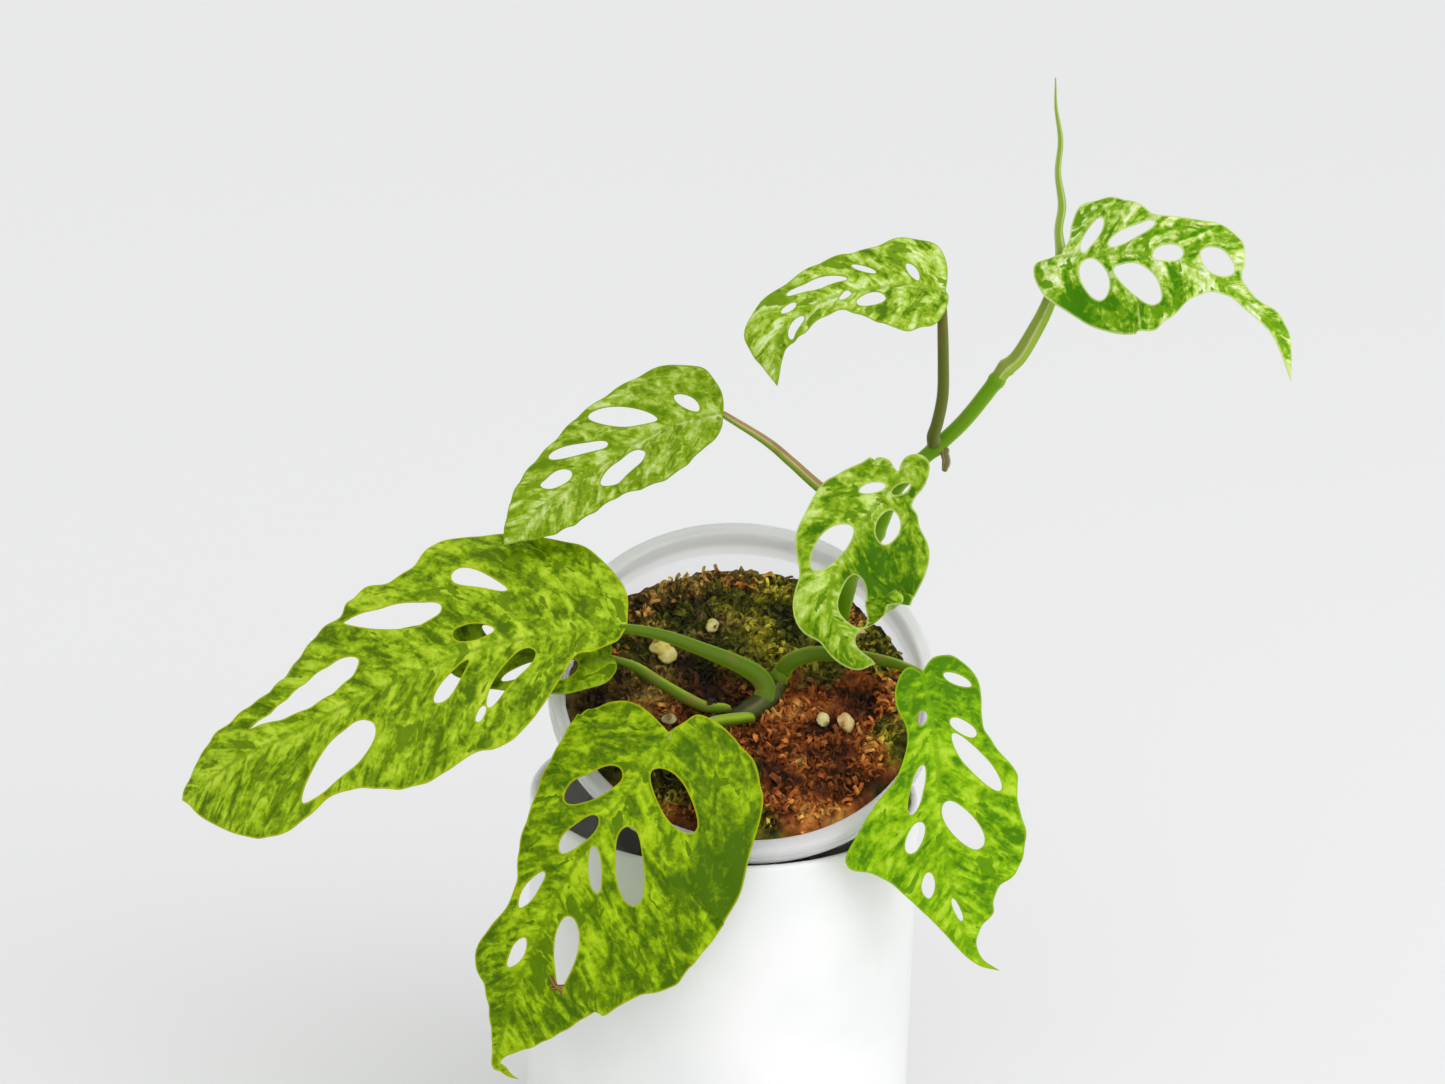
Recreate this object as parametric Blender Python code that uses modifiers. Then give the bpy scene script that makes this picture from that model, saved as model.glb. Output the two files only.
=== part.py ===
"""Potted monstera vine: a white pot cover, a tilted nursery pot hooked over its lip, moss and leaves."""

import math

import bmesh
import bpy
import numpy as np
from mathutils import Matrix, Vector
from mathutils.geometry import delaunay_2d_cdt, interpolate_bezier

MM = 0.001
GAP = 0.3

# Pot cover, mm. Its base stands on z = 0 and its axis is Z.
COVER_HEIGHT = 120.0
COVER_RADIUS = 61.0
COVER_WALL = 3.0
COVER_FLOOR = 5.0
COVER_FOOT_CHAMFER = 1.0

# Nursery pot, mm and degrees. It is tilted toward -Y and leans a little to +X.
TILT = 36.2
LEAN = 3.5
RIM_SHIFT = 5.0
RIM_INSET = 1.0
RIM_BAND = 7.5
RIM_WIDTH = 4.5
RIM_STEP = 3.0
RIM_THROAT = 4.0
RIM_ROUND = 0.8
POT_WALL = 1.2
POT_FLOOR = 1.6
POT_DEPTH = 62.0
HOOK_DEPTH = 7.4
RIM_TO_LIP = 0.9
WALL_TO_LIP = 1.2
DRAIN_HOLES = 6
DRAIN_RADIUS = 3.5
DRAIN_CIRCLE = 24.0

# Moss: how far its top lies under the rim, and how that changes to the back and the right.
MOSS_DROP = 9.5
MOSS_SLOPE = 0.12
MOSS_TIP = 0.03
MOSS_DOME = 2.5
MOSS_GAP = 0.8

# The places of the chips and the vine on the moss are given for a rim of this radius.
PLANTED_RADIUS = 60.0

BLADE = 0.6
STEM_FOOT = 1.3
STEM_SQUARE = 3.0
STALK_REST = 1.0
VINE_RADIUS = 2.5
BLADE_STEP = 7.0
EDGE_STEP = 5.0

for old in list(bpy.data.objects):
    bpy.data.objects.remove(old)

plant = bpy.data.collections.new("potted_monstera")
bpy.context.scene.collection.children.link(plant)
helpers = bpy.data.collections.new("cutters")
bpy.context.scene.collection.children.link(helpers)


def surface(name, colour, roughness, alpha=1.0):
    made = bpy.data.materials.new(name)
    made.use_nodes = True
    shader = made.node_tree.nodes["Principled BSDF"]
    shader.inputs["Base Color"].default_value = (*colour, 1.0)
    shader.inputs["Roughness"].default_value = roughness
    shader.inputs["Alpha"].default_value = alpha
    return made


def place(name, mesh, colour, roughness, collection=plant, sharp=40.0):
    mesh.materials.append(surface(name, colour, roughness))
    mesh.shade_smooth()
    mesh.set_sharp_from_angle(angle=math.radians(sharp))
    made = bpy.data.objects.new(name, mesh)
    collection.objects.link(made)
    return made


def turned(profile, steps):
    """A closed body turned about Z from (radius, height) pairs that start and end on the axis."""
    body = bmesh.new()
    verts = [body.verts.new((r * MM, 0.0, z * MM)) for r, z in profile]
    edges = [body.edges.new(pair) for pair in zip(verts, verts[1:])]
    bmesh.ops.spin(
        body,
        geom=verts + edges,
        cent=(0, 0, 0),
        axis=(0, 0, 1),
        angle=math.tau,
        steps=steps,
        use_duplicate=False,
    )
    bmesh.ops.remove_doubles(body, verts=body.verts, dist=0.01 * MM)
    bmesh.ops.recalc_face_normals(body, faces=body.faces)
    return body


def mesh_of(body, name):
    mesh = bpy.data.meshes.new(name)
    body.to_mesh(mesh)
    body.free()
    return mesh


def quarter(cx, cz, radius, start, end, steps=3):
    """Points of an arc about (cx, cz), in degrees."""
    angles = [math.radians(start + (end - start) * k / steps) for k in range(steps + 1)]
    return [(cx + radius * math.cos(a), cz + radius * math.sin(a)) for a in angles]


# Pot cover: a plain straight cylinder with a rounded lip
lip = COVER_WALL / 2
lip_centre = COVER_RADIUS - lip
bore = COVER_RADIUS - COVER_WALL
cover_profile = [
    (0.0, 0.0),
    (COVER_RADIUS - COVER_FOOT_CHAMFER, 0.0),
    (COVER_RADIUS, COVER_FOOT_CHAMFER),
    *quarter(lip_centre, COVER_HEIGHT - lip, lip, 0, 180, 6),
    *quarter(bore - COVER_FLOOR, 2 * COVER_FLOOR, COVER_FLOOR, 0, -90, 3),
    (0.0, COVER_FLOOR),
]
place("cachepot", mesh_of(turned(cover_profile, 56), "cachepot"), (0.86, 0.86, 0.86), 0.35)

# The tilted frame: its origin is the centre of the nursery pot's rim and its Z is the pot's axis
tilt = math.radians(TILT)
rim_radius = COVER_RADIUS - RIM_INSET
outward = Vector((0.0, -math.cos(tilt), -math.sin(tilt)))
upward = Vector((0.0, -math.sin(tilt), math.cos(tilt)))
near_lip = Vector((0.0, -lip_centre, COVER_HEIGHT - lip))
rim_centre = near_lip - outward * (rim_radius + lip + RIM_TO_LIP) + upward * HOOK_DEPTH
rim_centre.x = RIM_SHIFT
turn = Matrix.Rotation(tilt, 4, "X") @ Matrix.Rotation(math.radians(LEAN), 4, "Y")
pot_frame = Matrix.Translation(rim_centre) @ turn
metres = Matrix.Scale(MM, 4)
into_pot = metres @ pot_frame @ metres.inverted()
spread = rim_radius / PLANTED_RADIUS


def in_world(x, y, z):
    """A point of the tilted frame, in world mm."""
    return pot_frame @ Vector((x, y, z))


def bottom_radius():
    """The widest pot bottom whose straight wall clears the cover's far lip."""
    top = rim_radius - RIM_STEP
    room = top
    for k in range(361):
        angle = math.radians(k)
        edge = Vector((bore * math.cos(angle), bore * math.sin(angle), COVER_HEIGHT))
        local = pot_frame.inverted() @ edge
        depth = -local.z
        if depth > 2 * RIM_BAND and depth <= POT_DEPTH + WALL_TO_LIP:
            spare = math.hypot(local.x, local.y) - WALL_TO_LIP - top
            room = min(room, top + spare * (POT_DEPTH - RIM_BAND) / (depth - RIM_BAND))
    return room


pot_bottom = bottom_radius()
wall_top = rim_radius - RIM_STEP


def outer_wall(z):
    """Outside radius of the nursery pot's wall at a height below its rim."""
    share = (-z - RIM_BAND) / (POT_DEPTH - RIM_BAND)
    return wall_top + (pot_bottom - wall_top) * share


inner_floor = -POT_DEPTH + POT_FLOOR
throat = -RIM_BAND - RIM_THROAT


def inner_wall(z):
    """Inside radius of the nursery pot at a height below its rim."""
    if z < throat:
        return outer_wall(z) - POT_WALL
    share = (z + RIM_ROUND) / (throat + RIM_ROUND)
    return rim_radius - RIM_WIDTH + share * (outer_wall(throat) - POT_WALL - rim_radius + RIM_WIDTH)


pot_profile = [
    (0.0, -POT_DEPTH),
    (pot_bottom - 1.0, -POT_DEPTH),
    (outer_wall(-POT_DEPTH + 1.5), -POT_DEPTH + 1.5),
    (wall_top, -RIM_BAND),
    (rim_radius, -RIM_BAND),
    *quarter(rim_radius - RIM_ROUND, -RIM_ROUND, RIM_ROUND, 0, 90),
    *quarter(rim_radius - RIM_WIDTH + RIM_ROUND, -RIM_ROUND, RIM_ROUND, 90, 180),
    (inner_wall(throat), throat),
    (inner_wall(inner_floor), inner_floor),
    (0.0, inner_floor),
]
pot_body = turned(pot_profile, 56)
pot_body.transform(into_pot)
pot = place("nursery_pot", mesh_of(pot_body, "nursery_pot"), (0.8, 0.82, 0.82), 0.4)
for k in range(DRAIN_HOLES):
    angle = math.tau * k / DRAIN_HOLES
    drill = bmesh.new()
    bmesh.ops.create_cone(
        drill,
        cap_ends=True,
        segments=16,
        radius1=DRAIN_RADIUS * MM,
        radius2=DRAIN_RADIUS * MM,
        depth=4 * POT_FLOOR * MM,
    )
    spot = (DRAIN_CIRCLE * math.cos(angle), DRAIN_CIRCLE * math.sin(angle), -POT_DEPTH)
    drill.transform(into_pot @ Matrix.Translation(Vector(spot) * MM))
    cutter = place(f"drill_{k}", mesh_of(drill, f"drill_{k}"), (0.5, 0.5, 0.5), 0.5, helpers)
    cutter.hide_render = True
    cutter.display_type = "WIRE"
    cut = pot.modifiers.new(f"drain_{k}", "BOOLEAN")
    cut.operation = "DIFFERENCE"
    cut.solver = "EXACT"
    cut.object = cutter


def moss_level(x, y):
    """Height of the moss over the rim plane, in the tilted frame."""
    reach = (x * x + y * y) / rim_radius**2
    return -MOSS_DROP - MOSS_SLOPE * y + MOSS_TIP * x + MOSS_DOME * (1 - reach)


def on_moss(x, y, lift=0.0):
    return in_world(x, y, moss_level(x, y) + lift)


# Moss: turned, then its top rings are set to the sloping, domed level
TOP_RINGS = (1.0, 0.93, 0.78, 0.6, 0.42, 0.22, 0.0)
moss_floor = inner_floor + GAP
moss_profile = [
    (0.0, moss_floor),
    (inner_wall(moss_floor) - MOSS_GAP, moss_floor),
    *[(share * 10.0, 0.5 - share / 10) for share in TOP_RINGS],
]
moss_body = turned(moss_profile, 40)
for vert in moss_body.verts:
    if vert.co.z > 0.1 * MM:
        share = math.hypot(vert.co.x, vert.co.y) / (10.0 * MM)
        angle = math.atan2(vert.co.y, vert.co.x)
        edge = inner_wall(throat)
        for _ in range(4):
            level = moss_level(edge * math.cos(angle), edge * math.sin(angle))
            edge = inner_wall(min(level, -RIM_ROUND)) - MOSS_GAP
        x, y = share * edge * math.cos(angle), share * edge * math.sin(angle)
        drop = 1.2 if share > 0.99 else 0.0
        vert.co = Vector((x, y, moss_level(x, y) - drop)) * MM
moss_body.transform(into_pot)
place("moss", mesh_of(moss_body, "moss"), (0.16, 0.10, 0.05), 0.95)

# Pale chips lying on the moss: place in the tilted frame, half length, half width, half height, turn
CHIPS = {
    "chip_twin": (-25.0, 14.0, 5.0, 3.6, 2.4, -50),
    "chip_back": (-10.0, 25.5, 2.6, 2.0, 1.6, 60),
    "chip_mid": (24.5, -10.0, 2.4, 2.0, 1.6, 90),
    "chip_right": (31.5, -10.5, 3.4, 2.4, 1.9, -65),
    "chip_far": (35.5, 26.0, 2.8, 2.0, 1.6, 20),
    "chip_left": (-22.5, -12.5, 2.4, 1.8, 1.5, 10),
}
for name, (x, y, long, wide, high, spin) in CHIPS.items():
    chip = bmesh.new()
    bmesh.ops.create_icosphere(chip, subdivisions=2, radius=MM)
    level = moss_level(x * spread, y * spread) + high + 2 * GAP
    seat = Matrix.Translation(Vector((x * spread, y * spread, level)) * MM)
    shape = Matrix.Rotation(math.radians(spin), 4, "Z") @ Matrix.Diagonal((long, wide, high, 1.0))
    chip.transform(into_pot @ seat @ shape)
    place(name, mesh_of(chip, name), (0.75, 0.68, 0.45), 0.8)


def smooth(points, per):
    """A smooth curve through points, per steps to each span."""
    pts = [Vector(p) for p in points]
    pts = [2 * pts[0] - pts[1], *pts, 2 * pts[-1] - pts[-2]]
    line = []
    for p0, p1, p2, p3 in zip(pts, pts[1:], pts[2:], pts[3:]):
        span = interpolate_bezier(p1, p1 + (p2 - p0) / 6, p2 - (p3 - p1) / 6, p2, per + 1)
        line += span[:-1]
    return [*line, pts[-2]]


# Leaves. Each one has: ribs, the midrib from a heel behind the stalk to the tip, in mm from its
# anchor; face, the way the blade looks at the base, middle and tip; fold and curl, how the left and
# right halves rise, in degrees; left and right, the outline along and out from the midrib; and
# holes, as (along, out, half length, half width, turn).
DRAPE_ANGLE = -115.0
SIDE_ANGLE = -15.0
VINE_FOOT = (30.5, 31.5)


def from_middle(x, y):
    """A step in the plane of the rim, from its centre, in world mm."""
    return in_world(x, y, 0) - rim_centre


def rim_step(angle, length):
    """A step across the plane of the rim, at an angle in degrees."""
    return from_middle(length * math.cos(math.radians(angle)), length * math.sin(math.radians(angle)))


# What stands on the moss or hangs on the rim moves with it when the rim's radius changes.
growth = rim_radius - PLANTED_RADIUS
DRAPE_MOVE = rim_step(DRAPE_ANGLE, growth)
SIDE_MOVE = rim_step(SIDE_ANGLE, growth)
VINE_MOVE = from_middle(VINE_FOOT[0] * (spread - 1), VINE_FOOT[1] * (spread - 1))
RIM_ANCHOR = rim_centre
VINE_ANCHOR = rim_centre + VINE_MOVE
DRAPE_ANCHOR = rim_centre + rim_step(DRAPE_ANGLE, rim_radius)
SIDE_ANCHOR = rim_centre + rim_step(SIDE_ANGLE, rim_radius)
LEAVES = {
    "leaf_long": {
        "anchor": RIM_ANCHOR,
        "ribs": [
            (-33, -2.5, 18), (-38, -3.5, 18), (-56, -8.5, 17), (-82, -14.5, 13), (-113, -20.5, 0),
            (-136, -24.5, -12), (-152, -26.5, -20), (-168, -26.5, -34),
        ],
        "face": [(-0.10, -0.55, 0.85), (-0.15, -0.55, 0.85), (-0.3, -0.5, 0.85)],
        "fold": (-4, 6),
        "curl": (-10, -6),
        "sinus": (-2, 0),
        "tip": (146, -1),
        "left": [
            (3, 6), (10, 8), (16, 9), (22, 16), (29, 24), (36, 30), (46, 34), (57, 33), (68, 35),
            (77, 35), (86, 32), (95, 27), (103, 26), (110, 29), (117, 31), (126, 29), (133, 23),
            (138, 16), (142, 9), (144, 3),
        ],
        "right": [
            (-3, -9), (-2, -17), (1, -25), (7, -32), (16, -36), (28, -41), (38, -43), (47, -43),
            (53, -38), (62, -35), (69, -37), (75, -35), (79, -31), (86, -30), (93, -26), (100, -22),
            (109, -17), (120, -15), (131, -12), (139, -8), (144, -4),
        ],
        "holes": [
            (38, -24, 8, 3.5, -40), (65, -22, 14.5, 5, -20), (44, -6, 6, 3.5, -10), (55, 8, 8.5, 2.5, 35),
            (38, 12, 13, 3.5, 40), (50, 22, 3, 1.5, 45), (97, 17, 15.5, 6.5, 25), (91, -11, 11, 5, 15),
            (111, -8, 8, 1.4, -5),
        ],
    },
    "leaf_under": {
        "anchor": RIM_ANCHOR,
        "ribs": [
            (-36, -0.5, 8), (-41, -2.5, 8), (-56, -6.5, 9), (-71, -6.5, 9.5), (-87, -3.5, 11),
            (-103, 1.5, 13),
        ],
        "face": [(0.0, -0.5, 0.86), (0.0, -0.45, 0.88), (0.0, -0.45, 0.88)],
        "fold": (2, 2),
        "curl": (-6, -6),
        "sinus": (0, 0),
        "tip": (66, 0),
        "left": [(-1, 3), (0, 7), (4, 11), (10, 14), (20, 16), (32, 16), (44, 13), (54, 8), (61, 3)],
        "right": [
            (-1, -3), (0, -7), (3, -11), (9, -14), (20, -15), (32, -14), (44, -11), (54, -7), (61, -3),
        ],
        "holes": [(14, 6, 5, 2, 55), (27, 8, 6, 2.2, 45), (38, -6, 5, 2, -35), (22, -7, 5, 2, -45)],
    },
    "leaf_front": {
        "anchor": DRAPE_ANCHOR,
        "ribs": [
            (5, 11, 30), (3, 8, 26), (-1, 3, 21), (-10, -4, 11), (-18, -9, 2), (-28, -14, -15),
            (-36, -16, -35),
            (-40, -16, -45), (-46, -15, -69), (-44, -14, -73), (-41, -13, -76), (-36, -12, -78),
        ],
        "face": [(-0.12, -0.85, 0.55), (-0.1, -0.95, 0.3), (-0.1, -0.99, 0.1)],
        "fold": (-2, -12),
        "curl": (-6, -14),
        "sinus": (-2, -1),
        "tip": (126, 0),
        "left": [
            (-6, 2), (-10, 5), (-10, 11), (-8, 17), (-3, 26), (1, 32), (6, 36), (14, 40), (22, 44),
            (29, 46),
            (40, 46.5), (52, 45.5), (63, 44), (70, 42), (77, 33), (84, 27), (96, 19), (106, 10.5),
            (113, 2.5),
            (120, 1.3),
        ],
        "right": [
            (-5, -7), (-7, -13), (-7, -19), (-4, -26), (0, -30), (6, -31), (13, -30), (22, -28), (30, -26),
            (39, -22), (51, -18), (61, -13), (69, -13), (76, -15), (82, -16), (88, -15), (94, -9),
            (103, -4.5),
            (112, -1.5), (120, -1),
        ],
        "holes": [
            (25, -10, 9.5, 4.5, -25), (39, -4, 7.5, 3, -15), (14, 12, 11, 4.5, 70), (38, 14, 12.5, 4.5, 35),
            (45, 6, 7, 2, 35), (60, -8, 6.5, 2, -10), (72, 9, 11, 3.5, 15), (79, -4, 5.5, 2, -5),
        ],
    },
    "leaf_side": {
        "anchor": SIDE_ANCHOR,
        "ribs": [
            (-6, -6, 27), (-5, -9, 24), (-2, -20, 13), (0, -27, 0), (2, -30, -15), (5, -31, -33),
            (10, -32, -51), (15, -32, -59), (21, -33, -62),
        ],
        "face": [(0.1, -0.9, 0.45), (0.15, -0.98, 0.2), (0.2, -1.0, 0.1)],
        "fold": (-2, 2),
        "curl": (-8, -8),
        "sinus": (0, 0),
        "tip": (100, 0),
        "left": [
            (-3, 3), (-4, 7), (-2, 12), (4, 16), (11, 16), (19, 15), (23, 17), (27, 19), (35, 24),
            (43, 23.5),
            (50, 24.5), (56, 25), (64, 23), (69, 20), (72, 14), (76, 11.5), (80, 10.5), (84, 5), (90, 1.5),
        ],
        "right": [
            (-2, -4), (2, -8), (9, -10), (18, -8), (24, -9), (32, -13), (38, -19), (44, -24), (52, -30),
            (56, -29.5), (58, -24), (62, -18), (70, -12), (78, -7), (86, -3.5), (94, -1.5),
        ],
        "holes": [
            (4, 10, 4.5, 2, 55), (15, -3, 2.5, 1.5, -25), (19, 9, 4.5, 2, 55), (30, 12, 11.5, 3, 35),
            (36, -7, 7.5, 2, -20), (49, 6, 9.5, 4, 30), (50, -9, 5, 2.5, -30), (65, -7, 4, 2, -10),
            (75, 0, 4, 1, 10),
        ],
    },
    "leaf_back": {
        "anchor": VINE_ANCHOR,
        "ribs": [
            (-4, 39.5, 75), (-9, 39.5, 74), (-27, 37.5, 69), (-49, 31.5, 56), (-63, 23.5, 47),
            (-75, 13.5, 37),
        ],
        "face": [(-0.15, -0.4, 0.9), (-0.2, -0.45, 0.85), (-0.35, -0.45, 0.8)],
        "fold": (4, 6),
        "curl": (-6, -6),
        "sinus": (0, 1),
        "tip": (82, 0),
        "left": [
            (2, 9), (7, 15), (16, 20), (24, 22), (31, 21), (42, 17), (50, 16), (60, 16), (68, 14),
            (75, 9), (79, 4),
        ],
        "right": [
            (-1, -6), (0, -13), (3, -20), (8, -24), (14, -26), (24, -24), (33, -23), (40, -22), (47, -19),
            (56, -16), (64, -13), (72, -8), (78, -4),
        ],
        "holes": [
            (10, -7, 5.5, 2, -60), (28, -12, 11.5, 3.5, -45), (44, -10, 9, 2.5, -30), (37, 7, 9, 4, 10),
            (55, -5, 5, 3, -15),
        ],
    },
    "leaf_curled": {
        "anchor": VINE_ANCHOR,
        "ribs": [
            (46, 15.5, 66), (45, 13.5, 63), (39, 9.5, 56), (32, 4.5, 47), (27, 1.5, 39), (25, -1.5, 31),
            (25, -3.5, 25), (28, -4.5, 19), (32, -6.5, 14), (40, -6.5, 9),
        ],
        "face": [(-0.1, -0.85, 0.5), (0.0, -0.95, 0.25), (0.1, -1.0, 0.1)],
        "fold": (0, 0),
        "curl": (-4, -4),
        "sinus": (-1, -1),
        "tip": (70, 0),
        "left": [
            (-6, 0), (-8, 3), (-8, 5.5), (-6, 8), (-1, 8.5), (2, 8), (5, 9), (6, 12), (9, 15), (12, 20),
            (15, 22.5),
            (20, 24.5), (27, 25.5), (35, 25), (43, 22), (49, 17.5), (53, 11), (57, 3), (60, 1), (66, 0.7),
        ],
        "right": [
            (-4, -4), (-4, -8), (0, -10.5), (5, -12), (11, -15), (16, -17), (26, -16), (31, -15),
            (35, -12), (39, -10),
            (46, -11), (50, -10), (54, -7), (60, -6), (66, -4.5),
        ],
        "holes": [
            (8, -4, 4, 1.5, -40), (3, 3, 3, 1.5, -25), (15, 7, 5.5, 3.5, 20), (29, -4, 8, 4, -15),
            (43, 7, 9.5, 4, 0),
        ],
    },
    "leaf_upper": {
        "anchor": VINE_ANCHOR,
        "ribs": [
            (60, 21.5, 119), (56, 20.5, 120), (45, 17.5, 122), (36, 15.5, 121), (25, 13.5, 119),
            (14, 11.5, 114),
            (7, 8.5, 107), (7, 5.5, 93),
        ],
        "face": [(0.05, -0.5, 0.85), (-0.15, -0.5, 0.85), (-0.6, -0.5, 0.5)],
        "fold": (4, 4),
        "curl": (-8, -8),
        "sinus": (-1, 1),
        "tip": (70, 0),
        "left": [
            (-1, 4), (1, 10), (4, 15), (8, 18), (17, 20), (24, 15), (30, 10), (34, 7), (40, 7), (48, 8),
            (54, 7),
            (60, 3), (65, 1.5),
        ],
        "right": [
            (-2, -8), (-1, -16), (2, -18.5), (9, -19), (16, -17), (22, -16), (37, -14), (46, -13),
            (51, -13),
            (56, -12), (59, -10), (64, -6),
        ],
        "holes": [
            (9, -5, 3.5, 1.5, -70), (23, -8, 4, 1.5, -30), (37, -7, 8.5, 2, -10), (31, 1, 2.5, 1.5, 40),
            (24, 5, 4.5, 3, 10), (47, -4, 2.5, 1.5, 5), (50, 3.5, 5, 2, 20),
        ],
    },
    "leaf_top": {
        "anchor": VINE_ANCHOR,
        "ribs": [
            (89, 35.5, 127), (93, 33.5, 128), (103, 29.5, 130), (119, 23.5, 132), (129, 19.5, 130),
            (137, 15.5, 127),
            (148, 10.5, 119), (155, 7.5, 112), (160, 5.5, 99),
        ],
        "face": [(0.0, -0.6, 0.8), (0.2, -0.6, 0.75), (0.5, -0.6, 0.4)],
        "fold": (10, -4),
        "curl": (-16, -22),
        "sinus": (-1, 1),
        "tip": (88, 0),
        "left": [
            (1, 6), (1, 11), (3, 18), (8, 20.5), (13, 21), (21, 18), (26, 14), (31, 15), (36, 17),
            (42, 18.5),
            (47, 17), (51, 12), (54, 6), (59, 5), (64, 7), (71, 7.5), (80, 4),
        ],
        "right": [
            (-5, 0), (-9, -2), (-8, -8), (-3, -15), (5, -21), (14, -26), (25, -28), (34, -27.5), (40, -25),
            (45, -18), (47, -11), (50, -6), (56, -3), (65, -2.5), (76, -1.5),
        ],
        "holes": [
            (8, 7, 6.5, 2, 70), (20, 7, 7.5, 2.5, 35), (32, 1, 4.5, 3, 30), (46, 5, 5.5, 4, -15),
            (11, -9, 8, 4, -65), (27, -11, 11.5, 4.5, -30),
        ],
    },
}


class Form:
    """A leaf's bent surface: x runs along the midrib from the stalk, y to the left of it, in mm."""

    def __init__(self, leaf):
        per = 12
        line = smooth([leaf["anchor"] + Vector(p) for p in leaf["ribs"]], per)
        self.points = np.array(line)
        spans = np.linalg.norm(np.diff(self.points, axis=0), axis=1)
        self.along = np.concatenate([[0.0], np.cumsum(spans)])
        self.along -= self.along[per]
        slopes = np.gradient(self.points, self.along, axis=0)
        self.slopes = slopes / np.linalg.norm(slopes, axis=1)[:, None]
        self.leaf = leaf

    def at(self, x, y):
        spot = Vector([np.interp(x, self.along, self.points[:, k]) for k in range(3)])
        ahead = Vector([np.interp(x, self.along, self.slopes[:, k]) for k in range(3)]).normalized()
        over = x - min(max(x, self.along[0]), self.along[-1])
        spot += ahead * over
        facing = self.leaf["face"]
        place_on = min(max(x / self.along[-1], 0.0), 1.0) * (len(facing) - 1)
        steps = range(len(facing))
        up = Vector([np.interp(place_on, steps, [f[k] for f in facing]) for k in range(3)])
        up = (up - up.dot(ahead) * ahead).normalized()
        across = up.cross(ahead)
        side = 0 if y > 0 else 1
        out = abs(y)
        rise = math.radians(self.leaf["fold"][side])
        bend = math.radians(self.leaf["curl"][side]) / 30.0 or 1e-6
        flat = (math.sin(rise + bend * out) - math.sin(rise)) / bend
        lift = (math.cos(rise) - math.cos(rise + bend * out)) / bend
        return spot + across * math.copysign(flat, y) + up * lift

    def normal(self, x, y):
        return (self.at(x + 0.5, y) - self.at(x - 0.5, y)).cross(
            self.at(x, y + 0.5) - self.at(x, y - 0.5)
        ).normalized()


def even(line, step):
    """Points a step apart on a line, without its last one."""
    pts = np.array([tuple(p)[:2] for p in line])
    runs = np.concatenate([[0.0], np.cumsum(np.linalg.norm(np.diff(pts, axis=0), axis=1))])
    count = max(2, round(runs[-1] / step))
    marks = np.linspace(0.0, runs[-1], count + 1)[:-1]
    return [(np.interp(m, runs, pts[:, 0]), np.interp(m, runs, pts[:, 1])) for m in marks]


def hole_ring(hole, count, grow=1.0):
    x, y, long, wide, turned_by = hole
    c, s = math.cos(math.radians(turned_by)), math.sin(math.radians(turned_by))
    ring = []
    for k in range(count):
        a = math.tau * k / count
        u, v = grow * long * math.cos(a), grow * wide * math.sin(a)
        ring.append((x + c * u - s * v, y + s * u + c * v))
    return ring


def in_hole(x, y, hole, grow=1.0):
    hx, hy, long, wide, turned_by = hole
    c, s = math.cos(math.radians(turned_by)), math.sin(math.radians(turned_by))
    u, v = c * (x - hx) + s * (y - hy), -s * (x - hx) + c * (y - hy)
    return (u / (long * grow)) ** 2 + (v / (wide * grow)) ** 2 < 1.0


def inside(x, y, ring):
    """Whether a point lies inside a closed ring."""
    hit = False
    for (x0, y0), (x1, y1) in zip(ring, ring[1:] + ring[:1]):
        if (y0 > y) != (y1 > y) and x < (x1 - x0) * (y - y0) / (y1 - y0) + x0:
            hit = not hit
    return hit


def clear_of(x, y, ring, distance):
    return all(math.hypot(x - a, y - b) > distance for a, b in ring)


def blade(name, leaf, colour):
    """A leaf blade with its holes, as a thin closed body on the leaf's bent surface."""
    form = Form(leaf)
    left = [leaf["sinus"], *leaf["left"], leaf["tip"]]
    right = [leaf["tip"], *leaf["right"][::-1], leaf["sinus"]]
    edge = even(smooth([(x, y, 0) for x, y in left], 6), EDGE_STEP)
    edge += even(smooth([(x, y, 0) for x, y in right], 6), EDGE_STEP)
    rings = [edge]
    for hole in leaf["holes"]:
        rings.append(hole_ring(hole, 8 if hole[2] < 6 else 12))
    points = [p for ring in rings for p in ring]
    edges = []
    start = 0
    for ring in rings:
        count = len(ring)
        edges += [(start + k, start + (k + 1) % count) for k in range(count)]
        start += count
    rows = int((leaf["tip"][0] + 20) / BLADE_STEP)
    for i in range(rows):
        for j in range(-7, 8):
            x = -10 + i * BLADE_STEP + (BLADE_STEP / 2 if j % 2 else 0)
            y = j * BLADE_STEP * 0.9
            if inside(x, y, edge) and all(clear_of(x, y, ring, 0.5 * BLADE_STEP) for ring in rings):
                if not any(in_hole(x, y, hole) for hole in leaf["holes"]):
                    points.append((x, y))
    flat = [Vector(p) for p in points]
    verts, _, faces, *_ = delaunay_2d_cdt(flat, edges, [], 0, 1e-5)
    made = bmesh.new()
    corners = [made.verts.new(form.at(v.x, v.y) * MM) for v in verts]
    for face in faces:
        x = sum(verts[k].x for k in face) / 3
        y = sum(verts[k].y for k in face) / 3
        if inside(x, y, edge) and not any(in_hole(x, y, h, 0.98) for h in leaf["holes"]):
            made.faces.new([corners[k] for k in face])
    bmesh.ops.delete(made, geom=[v for v in made.verts if not v.link_faces], context="VERTS")
    body = place(name, mesh_of(made, name), colour, 0.45, sharp=60.0)
    thick = body.modifiers.new("thickness", "SOLIDIFY")
    thick.thickness = BLADE * MM
    thick.offset = 0.0
    return body


GREEN = (0.20, 0.42, 0.03)
for name, leaf in LEAVES.items():
    blade(name, leaf, GREEN)


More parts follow.
